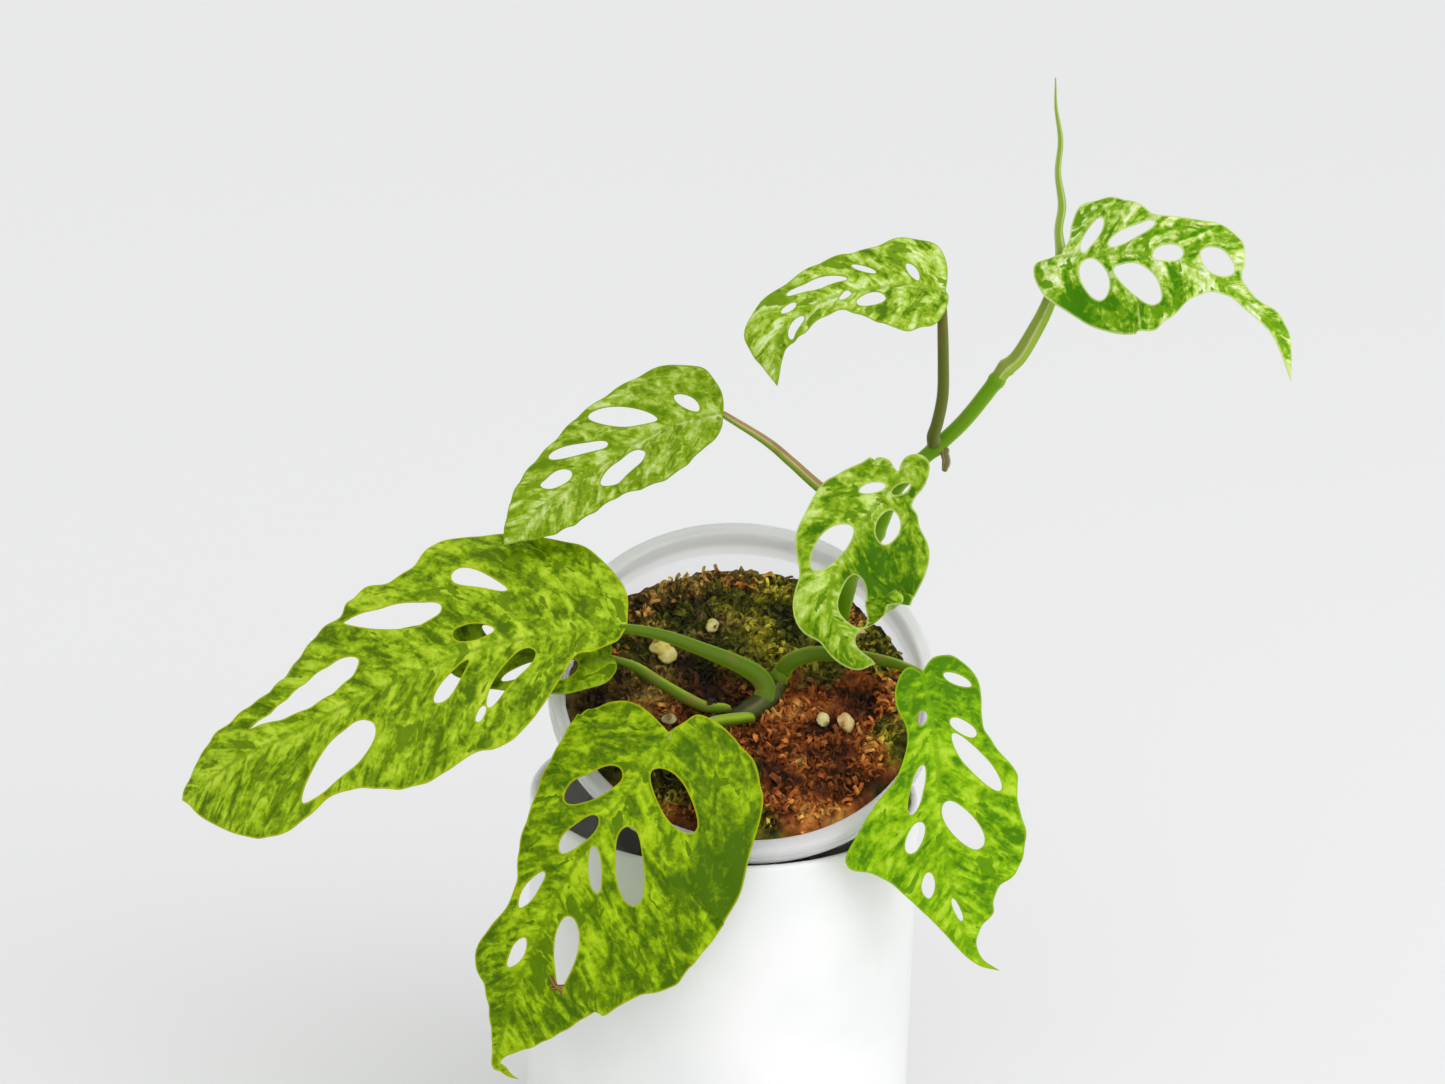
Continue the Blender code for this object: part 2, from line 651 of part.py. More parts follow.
def stem(name, points, radii, colour, per=3):
    """A tapering round stem through world points in mm; radii are set evenly along it."""
    line = smooth(points, per)
    track = bpy.data.curves.new(name, "CURVE")
    track.dimensions = "3D"
    track.bevel_depth = MM
    track.bevel_resolution = 2
    track.use_fill_caps = True
    run = track.splines.new("POLY")
    run.points.add(len(line) - 1)
    marks = np.linspace(0, len(line) - 1, len(radii))
    for k, point in enumerate(line):
        run.points[k].co = (*(point * MM), 1.0)
        run.points[k].radius = float(np.interp(k, marks, radii))
    track.materials.append(surface(name, colour, 0.5))
    made = bpy.data.objects.new(name, track)
    plant.objects.link(made)
    return made


def centre(x, y, z, moved=Vector()):
    """A point given from the centre of the nursery pot's rim, in world mm."""
    return rim_centre + Vector((x, y, z)) + moved


def climb(x, y, z):
    """A point of the vine, given from the centre of the rim."""
    return centre(x, y, z, VINE_MOVE)


def behind(name, radius, back=0.0):
    """Where a stalk of this radius ends, clear of the back of its blade."""
    form = Form(LEAVES[name])
    away = radius + BLADE / 2 + STALK_REST
    return form.at(back, 0.01) - form.normal(back, 0.01) * away


STEM_GREEN = (0.14, 0.26, 0.06)
BARK = (0.22, 0.13, 0.08)


def planted(x, y, *rest):
    """A stem's route that starts square to the moss."""
    return [on_moss(x, y, STEM_FOOT), on_moss(x, y, STEM_FOOT + STEM_SQUARE), *rest]


# The vine climbs from the back right of the moss
vine_route = planted(
    VINE_FOOT[0] * spread,
    VINE_FOOT[1] * spread,
    climb(31.5, 28.5, 20.5),
    climb(33, 30.5, 26),
    climb(37, 32.5, 31.5),
    climb(41, 34.5, 40.5),
    climb(44.5, 35.5, 50),
    climb(49, 35.5, 57.5),
    climb(57.5, 35.5, 66),
    climb(66, 34.5, 75.5),
    climb(75.5, 33.5, 89.5),
)
stem("vine", vine_route, [2.3, VINE_RADIUS, VINE_RADIUS, 2.3, 2.4], STEM_GREEN)
stem(
    "petiole_top",
    [
        climb(77, 33.5, 92),
        climb(81, 33.5, 96),
        climb(85.5, 33.5, 104.5),
        climb(89, 34, 112.5),
        behind("leaf_top", 1.5),
    ],
    [2.5, 2.3, 2.0, 1.5],
    STEM_GREEN,
)
stem(
    "new_shoot",
    [
        climb(92, 39.5, 120),
        climb(92.5, 39, 127),
        climb(92, 37.5, 143),
        climb(89.5, 36.5, 163),
        climb(87.5, 35.5, 182),
    ],
    [1.9, 1.9, 1.4, 1.2, 0.4],
    GREEN,
)
stem(
    "petiole_upper",
    [
        climb(56, 31, 71),
        climb(57, 29.5, 76),
        climb(58, 27.5, 85),
        climb(57.5, 25.5, 96.5),
        climb(56.5, 23.5, 110),
        behind("leaf_upper", 1.3),
    ],
    [1.9, 1.8, 1.7, 1.3],
    STEM_GREEN,
)
stem(
    "petiole_back",
    [
        climb(37, 38.5, 41),
        climb(32, 39.5, 44),
        climb(22.5, 41, 49.5),
        climb(12.5, 41.5, 58),
        climb(4.5, 41.5, 64.5),
        behind("leaf_back", 1.1),
    ],
    [1.9, 1.9, 1.7, 1.5, 1.1],
    STEM_GREEN,
)
stem(
    "petiole_curled",
    [climb(48, 32, 57), climb(47.5, 28, 59), climb(46.5, 22.5, 61), behind("leaf_curled", 1.0)],
    [1.5, 1.3, 1.0],
    STEM_GREEN,
)
stem("air_root", [climb(60, 34, 64), climb(60.5, 33, 62), climb(60, 32, 59.5)], [1.3, 1.3, 0.9], BARK)

# Four leaves rise from the crown in the middle of the moss
stem(
    "petiole_long",
    planted(
        6.0,
        -3.8,
        centre(6.5, 1.5, -3),
        centre(4, 2.5, 1),
        centre(-3, 2.5, 5),
        centre(-13.5, 1.5, 9.5),
        centre(-24, -0.5, 14),
        centre(-32.5, -2.5, 16.5),
        behind("leaf_long", 1.3),
    ),
    [2.7, 3.1, 2.9, 2.2, 1.6, 1.3],
    STEM_GREEN,
)
stem(
    "petiole_side",
    planted(
        11.0,
        5.0,
        centre(11.5, 8.5, 0),
        centre(14, 7.5, 4),
        centre(20, 6.5, 7),
        centre(27.5, 4.5, 8),
        centre(35, 0.5, 9),
        centre(44, -6.5, 10, SIDE_MOVE),
        centre(49.5, -14.5, 11, SIDE_MOVE),
        behind("leaf_side", 1.3),
    ),
    [2.6, 2.7, 2.5, 2.1, 1.7, 1.3],
    STEM_GREEN,
)
stem(
    "petiole_under",
    planted(
        -5.0,
        -8.0,
        centre(-11, -5, -7),
        centre(-17, -5, -4.5),
        centre(-26, -3, 0),
        centre(-33.5, -2, 4.5),
        behind("leaf_under", 1.1),
    ),
    [1.7, 1.9, 1.9, 1.7, 1.1],
    STEM_GREEN,
)
stem(
    "petiole_front",
    planted(
        2.0,
        -11.0,
        centre(-3, -10, -8.5),
        centre(-9, -16.5, -7, DRAPE_MOVE * 0.5),
        centre(-14.5, -24.5, -6, DRAPE_MOVE),
        centre(-20, -32.5, -4, DRAPE_MOVE),
        behind("leaf_front", 1.3),
    ),
    [2.1, 2.1, 1.7, 1.3],
    STEM_GREEN,
)
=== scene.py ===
"""Looks of a young potted monstera vine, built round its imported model."""

import math

import bmesh
import bpy
import numpy as np
from mathutils import Matrix, Vector, noise
from mathutils.geometry import delaunay_2d_cdt, interpolate_bezier


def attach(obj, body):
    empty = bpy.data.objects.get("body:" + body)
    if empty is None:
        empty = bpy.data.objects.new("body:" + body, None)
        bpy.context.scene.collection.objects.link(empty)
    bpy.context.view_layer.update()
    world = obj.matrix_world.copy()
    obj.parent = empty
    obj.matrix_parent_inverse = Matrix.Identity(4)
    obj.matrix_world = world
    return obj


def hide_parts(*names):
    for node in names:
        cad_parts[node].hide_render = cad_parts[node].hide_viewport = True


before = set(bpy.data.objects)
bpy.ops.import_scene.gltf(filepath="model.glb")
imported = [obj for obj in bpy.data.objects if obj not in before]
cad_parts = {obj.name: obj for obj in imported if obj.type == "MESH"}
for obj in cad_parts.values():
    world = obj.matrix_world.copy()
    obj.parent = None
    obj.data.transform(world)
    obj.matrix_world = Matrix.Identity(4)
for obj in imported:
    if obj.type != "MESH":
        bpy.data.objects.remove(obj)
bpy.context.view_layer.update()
MM = 0.001

# --- Where the plant stands -------------------------------------------------------------------
# A plain pale table top, a very soft light from overhead and the front, a weaker one from the
# right, and a camera that looks down on the pot a little.


def add_node(tree, kind, links=None, values=None, stops=None, **settings):
    """Adds a node to a tree, with its settings, socket values, colour stops and incoming links."""
    node = tree.nodes.new(kind)
    for key, value in settings.items():
        setattr(node, key, value)
    for socket, value in (values or {}).items():
        node.inputs[socket].default_value = value
    for socket, source in (links or {}).items():
        tree.links.new(source, node.inputs[socket])
    if stops:
        ramp = node.color_ramp.elements
        while len(ramp) < len(stops):
            ramp.new(1.0)
        for element, (place, code) in zip(ramp, stops):
            element.position = place
            element.color = hex_colour(code)
    return node


def hex_colour(code):
    """An sRGB hex colour as linear red, green, blue and alpha."""
    parts = [int(code[k : k + 2], 16) / 255 for k in (0, 2, 4)]
    linear = [p / 12.92 if p <= 0.04045 else ((p + 0.055) / 1.055) ** 2.4 for p in parts]
    return (*linear, 1.0)


def new_finish(name, **values):
    """A material with its Principled shader's own sockets set. Returns it, its tree, the shader, and
    the Object coordinates that its patterns are laid out on."""
    made = bpy.data.materials.new(name)
    made.use_nodes = True
    tree = made.node_tree
    shader = tree.nodes["Principled BSDF"]
    for socket, value in values.items():
        shader.inputs[socket.replace("_", " ")].default_value = value
    return made, tree, shader, add_node(tree, "ShaderNodeTexCoord").outputs["Object"]


def feed(tree, shader, **sources):
    """Links each source to the shader's socket of that name."""
    for socket, source in sources.items():
        tree.links.new(source, shader.inputs[socket.replace("_", " ")])


scene = bpy.context.scene
scene.view_settings.view_transform = "Standard"
world = bpy.data.worlds.new("soft_room")
world.use_nodes = True
world.node_tree.nodes["Background"].inputs["Color"].default_value = hex_colour("F2F3F4")
world.node_tree.nodes["Background"].inputs["Strength"].default_value = 0.835
scene.world = world

LOOK_DOWN = math.radians(18.5)
CAMERA_TILT = math.radians(1.65)
CAMERA_DISTANCE = 1.040
CAMERA_AIM = Vector((-0.003, 0.0, 0.2015))
back = Vector((0.0, -math.cos(LOOK_DOWN), math.sin(LOOK_DOWN)))
right = Vector((1.0, 0.0, 0.0))
above = back.cross(right)
side = math.cos(CAMERA_TILT) * right + math.sin(CAMERA_TILT) * above
top = math.cos(CAMERA_TILT) * above - math.sin(CAMERA_TILT) * right
camera = bpy.data.objects.new("camera", bpy.data.cameras.new("camera"))
camera.data.lens = 84.7
camera.matrix_world = Matrix.Translation(CAMERA_AIM + back * CAMERA_DISTANCE) @ Matrix(
    (side, top, back)
).transposed().to_4x4()
scene.collection.objects.link(camera)
scene.camera = camera


def soft_light(name, kind, place, **settings):
    """A light at a place in metres, aimed at the middle of the plant."""
    lamp = bpy.data.lights.new(name, kind)
    for key, value in settings.items():
        setattr(lamp, key, value)
    made = bpy.data.objects.new(name, lamp)
    made.location = place
    made.rotation_euler = (Vector(place) - Vector((0, 0, 0.15))).to_track_quat("Z", "Y").to_euler()
    scene.collection.objects.link(made)


soft_light("room_light", "SUN", (0.25, -0.75, 1.1), energy=0.88, angle=math.radians(80))
soft_light("window", "AREA", (1.1, -0.5, 0.5), energy=3.1, shape="DISK", size=0.9)

FLOOR = 6.0
corners = [(-FLOOR, -FLOOR, 0), (FLOOR, -FLOOR, 0), (FLOOR, FLOOR, 0), (-FLOOR, FLOOR, 0)]
floor_mesh = bpy.data.meshes.new("table_top")
floor_mesh.from_pydata(corners, [], [(0, 1, 2, 3)])
floor_mesh.materials.append(new_finish("pale_table", Roughness=0.7, Base_Color=hex_colour("EDEDEC"))[0])
table_top = bpy.data.objects.new("table_top", floor_mesh)
scene.collection.objects.link(table_top)

# --- Pot cover --------------------------------------------------------------------------------
# A plain straight cylinder of white earthenware, slip cast and dipped in a satin glaze. The lip
# is rounded and the foot is a narrow unglazed ring that the pot stands on.


def turned(profile, steps):
    """A closed body turned about Z from (radius, height) pairs in mm that start and end on the axis."""
    body = bmesh.new()
    rings = []
    for radius, z in profile:
        angles = [math.tau * k / steps for k in range(steps if radius else 1)]
        spots = [Vector((radius * math.cos(a), radius * math.sin(a), z)) for a in angles]
        rings.append([body.verts.new(spot * MM) for spot in spots])
    for near, far in zip(rings, rings[1:]):
        for k in range(steps):
            low, high = near[k % len(near)], far[k % len(far)]
            next_low, next_high = near[(k + 1) % len(near)], far[(k + 1) % len(far)]
            body.faces.new(list(dict.fromkeys((low, next_low, next_high, high))))
    bmesh.ops.remove_doubles(body, verts=body.verts, dist=0.01 * MM)
    bmesh.ops.recalc_face_normals(body, faces=body.faces)
    return body


def arc(cx, cz, radius, start, end, steps):
    """Points of an arc about (cx, cz), in degrees."""
    angles = [math.radians(start + (end - start) * k / steps) for k in range(steps + 1)]
    return [(cx + radius * math.cos(a), cz + radius * math.sin(a)) for a in angles]


def put(name, mesh, finishes, nodes=(), sharp=40.0):
    """Links a mesh whose place is in its vertices, with its finishes, and rides it on the frame."""
    for finish in finishes:
        mesh.materials.append(finish)
    mesh.shade_smooth()
    mesh.set_sharp_from_angle(angle=math.radians(sharp))
    made = bpy.data.objects.new(name, mesh)
    scene.collection.objects.link(made)
    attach(made, "root")
    if nodes:
        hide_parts(*nodes)
    return made


def mesh_of(body, name):
    mesh = bpy.data.meshes.new(name)
    body.to_mesh(mesh)
    body.free()
    return mesh


COVER_HEIGHT, COVER_RADIUS, COVER_WALL, COVER_FLOOR = 120.0, 61.0, 3.0, 5.0
lip = COVER_WALL / 2
bore = COVER_RADIUS - COVER_WALL
wall_rings = [(COVER_RADIUS, z) for z in range(10, 116, 15)]
cover_profile = [
    (0.0, 1.0),
    (COVER_RADIUS - 8.5, 1.0),
    *arc(COVER_RADIUS - 7.5, 1.0, 1.0, 180, 270, 4),
    *arc(COVER_RADIUS - 1.6, 1.6, 1.6, -90, 0, 6),
    *wall_rings,
    *arc(COVER_RADIUS - lip, COVER_HEIGHT - lip, lip, 0, 180, 12),
    *[(bore, z) for z in range(110, 14, -15)],
    *arc(bore - COVER_FLOOR, 2 * COVER_FLOOR, COVER_FLOOR, 0, -90, 8),
    (0.0, COVER_FLOOR),
]
# Satin glaze on earthenware: an even off-white with a soft broad gloss, very slightly wavy where
# the glaze ran, and a buff ring where the foot was wiped clean.
glaze, tree, shader, where = new_finish(
    "satin_glazed_earthenware", Roughness=0.32, IOR=1.5, Coat_Weight=0.25, Coat_Roughness=0.12
)
cloud, ripple = (
    add_node(tree, "ShaderNodeTexNoise", {"Vector": where}, {"Scale": scale, "Detail": detail}).outputs["Fac"]
    for scale, detail in ((22.0, 3.0), (60.0, 2.0))
)
tint = add_node(tree, "ShaderNodeValToRGB", {"Fac": cloud}, stops=[(0.35, "EDEEEE"), (0.65, "F6F6F5")])
height = add_node(tree, "ShaderNodeSeparateXYZ", {"Vector": where}).outputs["Z"]
foot = {"From Min": 0.0002, "From Max": 0.0009, "To Min": 1.0, "To Max": 0.0}
bare = add_node(tree, "ShaderNodeMapRange", {"Value": height}, foot)
dipped = {0: bare.outputs["Result"], 6: tint.outputs["Color"]}
skin = add_node(tree, "ShaderNodeMix", dipped, {7: hex_colour("D9CFBE")}, data_type="RGBA")
gloss = add_node(tree, "ShaderNodeMapRange", {"Value": cloud}, {"To Min": 0.27, "To Max": 0.37})
wave = add_node(tree, "ShaderNodeBump", {"Height": ripple}, {"Strength": 0.06, "Distance": 0.001})
feed(tree, shader, Base_Color=skin.outputs[2], Roughness=gloss.outputs[0], Normal=wave.outputs["Normal"])
put("pot_cover", mesh_of(turned(cover_profile, 160), "pot_cover"), [glaze], ["cachepot"])

# --- Nursery pot ------------------------------------------------------------------------------
# A thin blow-moulded pot of natural, milky polypropylene, hooked over the near lip of the cover
# and tipped towards the front. Its rim is a folded band with a step under it, and the base has
# six round drain holes.
TILT, LEAN, RIM_SHIFT = 36.2, 3.5, 5.0
RIM_BAND, RIM_WIDTH, RIM_STEP, RIM_THROAT = 7.5, 4.5, 3.0, 4.0
POT_WALL, POT_FLOOR, POT_DEPTH, HOOK_DEPTH, RIM_TO_LIP = 1.2, 1.6, 62.0, 7.4, 0.9
DRAIN_HOLES, DRAIN_RADIUS, DRAIN_CIRCLE = 6, 3.5, 24.0
tilt = math.radians(TILT)
rim_radius = COVER_RADIUS - 1.0
outward = Vector((0.0, -math.cos(tilt), -math.sin(tilt)))
upward = Vector((0.0, -math.sin(tilt), math.cos(tilt)))
near_lip = Vector((0.0, -(COVER_RADIUS - lip), COVER_HEIGHT - lip))
rim_centre = near_lip - outward * (rim_radius + lip + RIM_TO_LIP) + upward * HOOK_DEPTH
rim_centre.x = RIM_SHIFT
pot_frame = (
    Matrix.Translation(rim_centre)
    @ Matrix.Rotation(tilt, 4, "X")
    @ Matrix.Rotation(math.radians(LEAN), 4, "Y")
)
into_frame = Matrix.Scale(MM, 4) @ pot_frame @ Matrix.Scale(1 / MM, 4)
wall_top = rim_radius - RIM_STEP
pot_bottom = 43.84
throat = -RIM_BAND - RIM_THROAT


def in_world(x, y, z):
    """A point of the tilted pot's frame, in world mm."""
    return pot_frame @ Vector((x, y, z))


def outer_wall(z):
    """Outside radius of the nursery pot's wall at a height below its rim."""
    share = (-z - RIM_BAND) / (POT_DEPTH - RIM_BAND)
    return wall_top + (pot_bottom - wall_top) * share


def inner_wall(z):
    """Inside radius of the nursery pot at a height below its rim."""
    if z < throat:
        return outer_wall(z) - POT_WALL
    share = (z + 0.8) / (throat + 0.8)
    return rim_radius - RIM_WIDTH + share * (outer_wall(throat) - POT_WALL - rim_radius + RIM_WIDTH)


bottom_in = -POT_DEPTH + POT_FLOOR
pot_profile = [
    (0.0, -POT_DEPTH + 0.6),
    (pot_bottom - 9.0, -POT_DEPTH + 0.6),
    (pot_bottom - 8.2, -POT_DEPTH),
    (pot_bottom - 2.0, -POT_DEPTH),
    *arc(outer_wall(-POT_DEPTH + 2) - 2.0, -POT_DEPTH + 2.0, 2.0, -80, -5, 5),
    *[(outer_wall(z), z) for z in range(-52, -10, 8)],
    (wall_top - 0.2, -RIM_BAND - 0.6),
    (wall_top + 0.4, -RIM_BAND),
    *arc(rim_radius - 0.7, -RIM_BAND + 0.7, 0.7, -90, 0, 4),
    (rim_radius, -4.6),
    (rim_radius - 0.35, -4.2),
    (rim_radius - 0.35, -3.6),
    (rim_radius, -3.2),
    *arc(rim_radius - 1.1, -1.1, 1.1, 0, 90, 6),
    (rim_radius - 2.6, -0.35),
    *arc(rim_radius - RIM_WIDTH + 0.9, -0.9, 0.9, 60, 180, 6),
    (inner_wall(-4.0), -4.0),
    (inner_wall(throat) + 0.3, throat + 0.6),
    (inner_wall(throat) - 0.2, throat),
    *[(inner_wall(z), z) for z in range(-20, -60, -8)],
    (inner_wall(bottom_in) - 1.5, bottom_in),
    (0.0, bottom_in),
]
pot_body = turned(pot_profile, 176)
pot_body.transform(into_frame)
pot_mesh = mesh_of(pot_body, "nursery_pot_shell")
pot_mesh.shade_smooth()
drilled = bpy.data.objects.new("drilled", pot_mesh)
scene.collection.objects.link(drilled)
drills = bmesh.new()
for k in range(DRAIN_HOLES):
    angle = math.tau * k / DRAIN_HOLES
    spot = Vector((DRAIN_CIRCLE * math.cos(angle), DRAIN_CIRCLE * math.sin(angle), -POT_DEPTH)) * MM
    hole = {"radius1": DRAIN_RADIUS * MM, "radius2": DRAIN_RADIUS * MM, "depth": 9 * MM}
    bmesh.ops.create_cone(drills, cap_ends=True, segments=32, matrix=Matrix.Translation(spot), **hole)
drills.transform(into_frame)
drill = bpy.data.objects.new("drill", mesh_of(drills, "drill"))
scene.collection.objects.link(drill)
cut = drilled.modifiers.new("drain_holes", "BOOLEAN")
cut.solver = "EXACT"
cut.object = drill
pot_mesh = bpy.data.meshes.new_from_object(drilled.evaluated_get(bpy.context.evaluated_depsgraph_get()))
for spare in (drilled, drill):
    bpy.data.objects.remove(spare)


def plastic_finish(name, clearness):
    """Natural polypropylene: milky, lets light through, with a soft waxy gloss and faint flow bands
    round the pot from the mould. The folded rim is thicker than the wall, so it is milkier."""
    made, tree, shader, where = new_finish(
        name,
        IOR=1.22,
        Transmission_Weight=clearness,
        Subsurface_Weight=1.0,
        Subsurface_Radius=(1.0, 1.0, 1.0),
        Subsurface_Scale=0.008,
    )
    bands = {"Scale": (6.0, 40.0, 90.0), "Rotation": (-tilt, 0, 0)}
    flow = add_node(tree, "ShaderNodeMapping", {"Vector": where}, bands).outputs["Vector"]
    broad = {"Scale": 3.0, "Detail": 3.0}
    band = add_node(tree, "ShaderNodeTexNoise", {"Vector": flow}, broad).outputs["Fac"]
    milk = add_node(tree, "ShaderNodeValToRGB", {"Fac": band}, stops=[(0.3, "FCFDFD"), (0.7, "FFFFFF")])
    wax = add_node(tree, "ShaderNodeMapRange", {"Value": band}, {"To Min": 0.26, "To Max": 0.42})
    feed(tree, shader, Base_Color=milk.outputs["Color"], Roughness=wax.outputs["Result"])
    return made


wall_plastic = plastic_finish("natural_polypropylene_wall", 0.96)
rim_plastic = plastic_finish("natural_polypropylene_rim", 0.3)
put("nursery_pot_shell", pot_mesh, [wall_plastic, rim_plastic], ["nursery_pot"])
band_foot = -RIM_BAND - 0.4
for found in pot_mesh.polygons:
    found.material_index = int((into_frame.inverted() @ found.center).z > band_foot * MM)

# --- Moss -------------------------------------------------------------------------------------
# Long-fibred sphagnum packed into the pot, dark at the back and left, going rust red to
# the right and front, with live yellow-green tips in the middle, and with painted shade on it just
# left of the crown. Loose curls stand up round it.
MOSS_DROP, MOSS_SLOPE, MOSS_TIP, MOSS_DOME = 9.5, 0.12, 0.03, 2.5


def moss_level(x, y):
    """Height of the moss over the rim plane, in the tilted frame."""
    reach = (x * x + y * y) / rim_radius**2
    return -MOSS_DROP - MOSS_SLOPE * y + MOSS_TIP * x + MOSS_DOME * (1 - reach)


def on_moss(x, y, lift=0.0):
    return in_world(x, y, moss_level(x, y) + lift)


SKIRT, SKIRT_RINGS = 20.0, 6
CROWN, CROWN_RINGS = 10.0, 62
moss_profile = [
    (0.0, bottom_in + 0.3),
    (inner_wall(bottom_in) - 2.2, bottom_in + 0.3),
    *[(SKIRT + k, -0.5) for k in range(SKIRT_RINGS, 0, -1)],
    *[(CROWN * (1 - k / CROWN_RINGS), 0.5) for k in range(CROWN_RINGS + 1)],
]
moss_body = turned(moss_profile, 230)
for vert in moss_body.verts:
    x, y, z = vert.co / MM
    angle, radius = math.atan2(y, x), math.hypot(x, y)
    c, s = math.cos(angle), math.sin(angle)
    edge = inner_wall(throat)
    for _ in range(4):
        edge = inner_wall(min(moss_level(edge * c, edge * s), -0.8)) - 0.5
    if z > 0.1:
        share = radius / CROWN
        x, y = share * edge * c, share * edge * s
        at = Vector((x, y, 3.0))
        lump = noise.fractal(at * 0.11, 0.9, 2.1, 4)
        crumb = abs(noise.noise(at * 0.45)) + 0.5 * abs(noise.noise(at * 1.1))
        level = moss_level(x, y) + 2.0 * lump + 3.2 * (crumb - 0.45)
        z = level - 2.2 * max(0.0, share - 0.955) / 0.045
    elif z > -1.0:
        part = (radius - SKIRT) / (SKIRT_RINGS + 1)
        rim_level = moss_level(edge * c, edge * s) - 2.6
        z = rim_level + (bottom_in + 0.9 - rim_level) * part
        uneven = 0.35 + 0.35 * noise.noise(Vector((c * 9, s * 9, z * 0.3)))
        x, y = (inner_wall(z) - 0.45 - uneven) * c, (inner_wall(z) - 0.45 - uneven) * s
    vert.co = Vector((x, y, z)) * MM
moss_body.transform(into_frame)
bmesh.ops.recalc_face_normals(moss_body, faces=moss_body.faces)


def moss_finish(name, brighter, rusty=0.0, dry=0.0):
    """Damp sphagnum: dull, fibrous and mottled, its colour laid out by where it is in the pot, with
    painted shade round a spot just left of the crown. rusty spreads the rust patches, and dry moves
    every clump towards the pale end of its colours."""
    made, tree, shader, where = new_finish(name, Roughness=0.9, Specular_IOR_Level=0.3)
    laid = {"Vector": where}
    grain, lumps, patch = (
        add_node(tree, "ShaderNodeTexNoise", laid, {"Scale": size, "Detail": fine}).outputs["Fac"]
        for size, fine in ((420.0, 4.0), (75.0, 3.0), (38.0, 2.0))
    )
    clump = add_node(tree, "ShaderNodeMath", {0: lumps}, {1: dry}, operation="ADD").outputs[0]
    rust, dark, live = (
        add_node(tree, "ShaderNodeValToRGB", {"Fac": clump}, stops=list(zip(places, codes))).outputs["Color"]
        for places, codes in (
            ((0.30, 0.42, 0.52, 0.62, 0.72), ("2A1A0A", "653411", "95501C", "BC6E2E", "D29A4A")),
            ((0.32, 0.44, 0.54, 0.64, 0.74), ("1A140A", "46341A", "6A5428", "8E7834", "B8A450")),
            ((0.30, 0.44, 0.54, 0.64, 0.74), ("2A2C0C", "565A16", "868220", "B8AC2C", "D2C850")),
        )
    )
    # Rust grows from the back left to the front right. The live patch is behind the crown, and
    # painted shade darkens the moss round a spot just left of the crown.
    run, from_live, from_shade_spot = (
        add_node(tree, "ShaderNodeVectorMath", {0: where}, {1: spot}, operation=kind).outputs["Value"]
        for kind, spot in (
            ("DOT_PRODUCT", (9.0, -14.0, 0.0)),
            ("DISTANCE", (0.016, 0.012, 0.169)),
            ("DISTANCE", on_moss(-9, 2) * MM),
        )
    )
    across, around = (
        add_node(tree, "ShaderNodeMath", {0: patch, 1: place}, operation="ADD").outputs[0]
        for place in (run, from_live)
    )
    redder, near, painted_shade = (
        add_node(
            tree,
            "ShaderNodeMapRange",
            {"Value": source},
            {"From Min": start, "From Max": end, "To Min": low, "To Max": high},
            interpolation_type="SMOOTHSTEP",
        ).outputs["Result"]
        for source, start, end, low, high in (
            (across, 0.50 - rusty, 0.86 - rusty, 0.0, 1.0),
            (around, 0.58, 0.48, 0.0, 0.9),
            (from_shade_spot, 0.005, 0.022, 0.3, 1.0),
        )
    )
    grown = dark
    for amount, over in ((redder, rust), (near, live)):
        layers = {0: amount, 6: grown, 7: over}
        grown = add_node(tree, "ShaderNodeMix", layers, data_type="RGBA").outputs[2]
    ends = {"From Min": 0.34, "From Max": 0.68, "To Min": 0.35, "To Max": brighter}
    fibre = add_node(tree, "ShaderNodeMapRange", {"Value": grain}, ends).outputs["Result"]
    # Brightness is the fibres' own random tone times the painted shade round the spot left of the crown.
    shade = add_node(tree, "ShaderNodeMath", {0: fibre, 1: painted_shade}, operation="MULTIPLY").outputs[0]
    lit = add_node(tree, "ShaderNodeVectorMath", {0: grown, "Scale": shade}, operation="SCALE")
    bump = add_node(tree, "ShaderNodeBump", {"Height": grain}, {"Strength": 0.5, "Distance": 0.0006})
    feed(tree, shader, Base_Color=lit.outputs["Vector"], Normal=bump.outputs["Normal"])
    return made


packed_moss = moss_finish("packed_sphagnum", 1.25)
loose_moss = moss_finish("loose_sphagnum", 1.4)
coarse_moss = moss_finish("coarse_sphagnum", 1.7, 0.08, 0.04)
golden_moss = moss_finish("dry_golden_sphagnum", 2.0, 0.6, 0.13)
moss_bed = put("moss_bed", mesh_of(moss_body, "moss_bed"), [packed_moss], ["moss"], sharp=180.0)


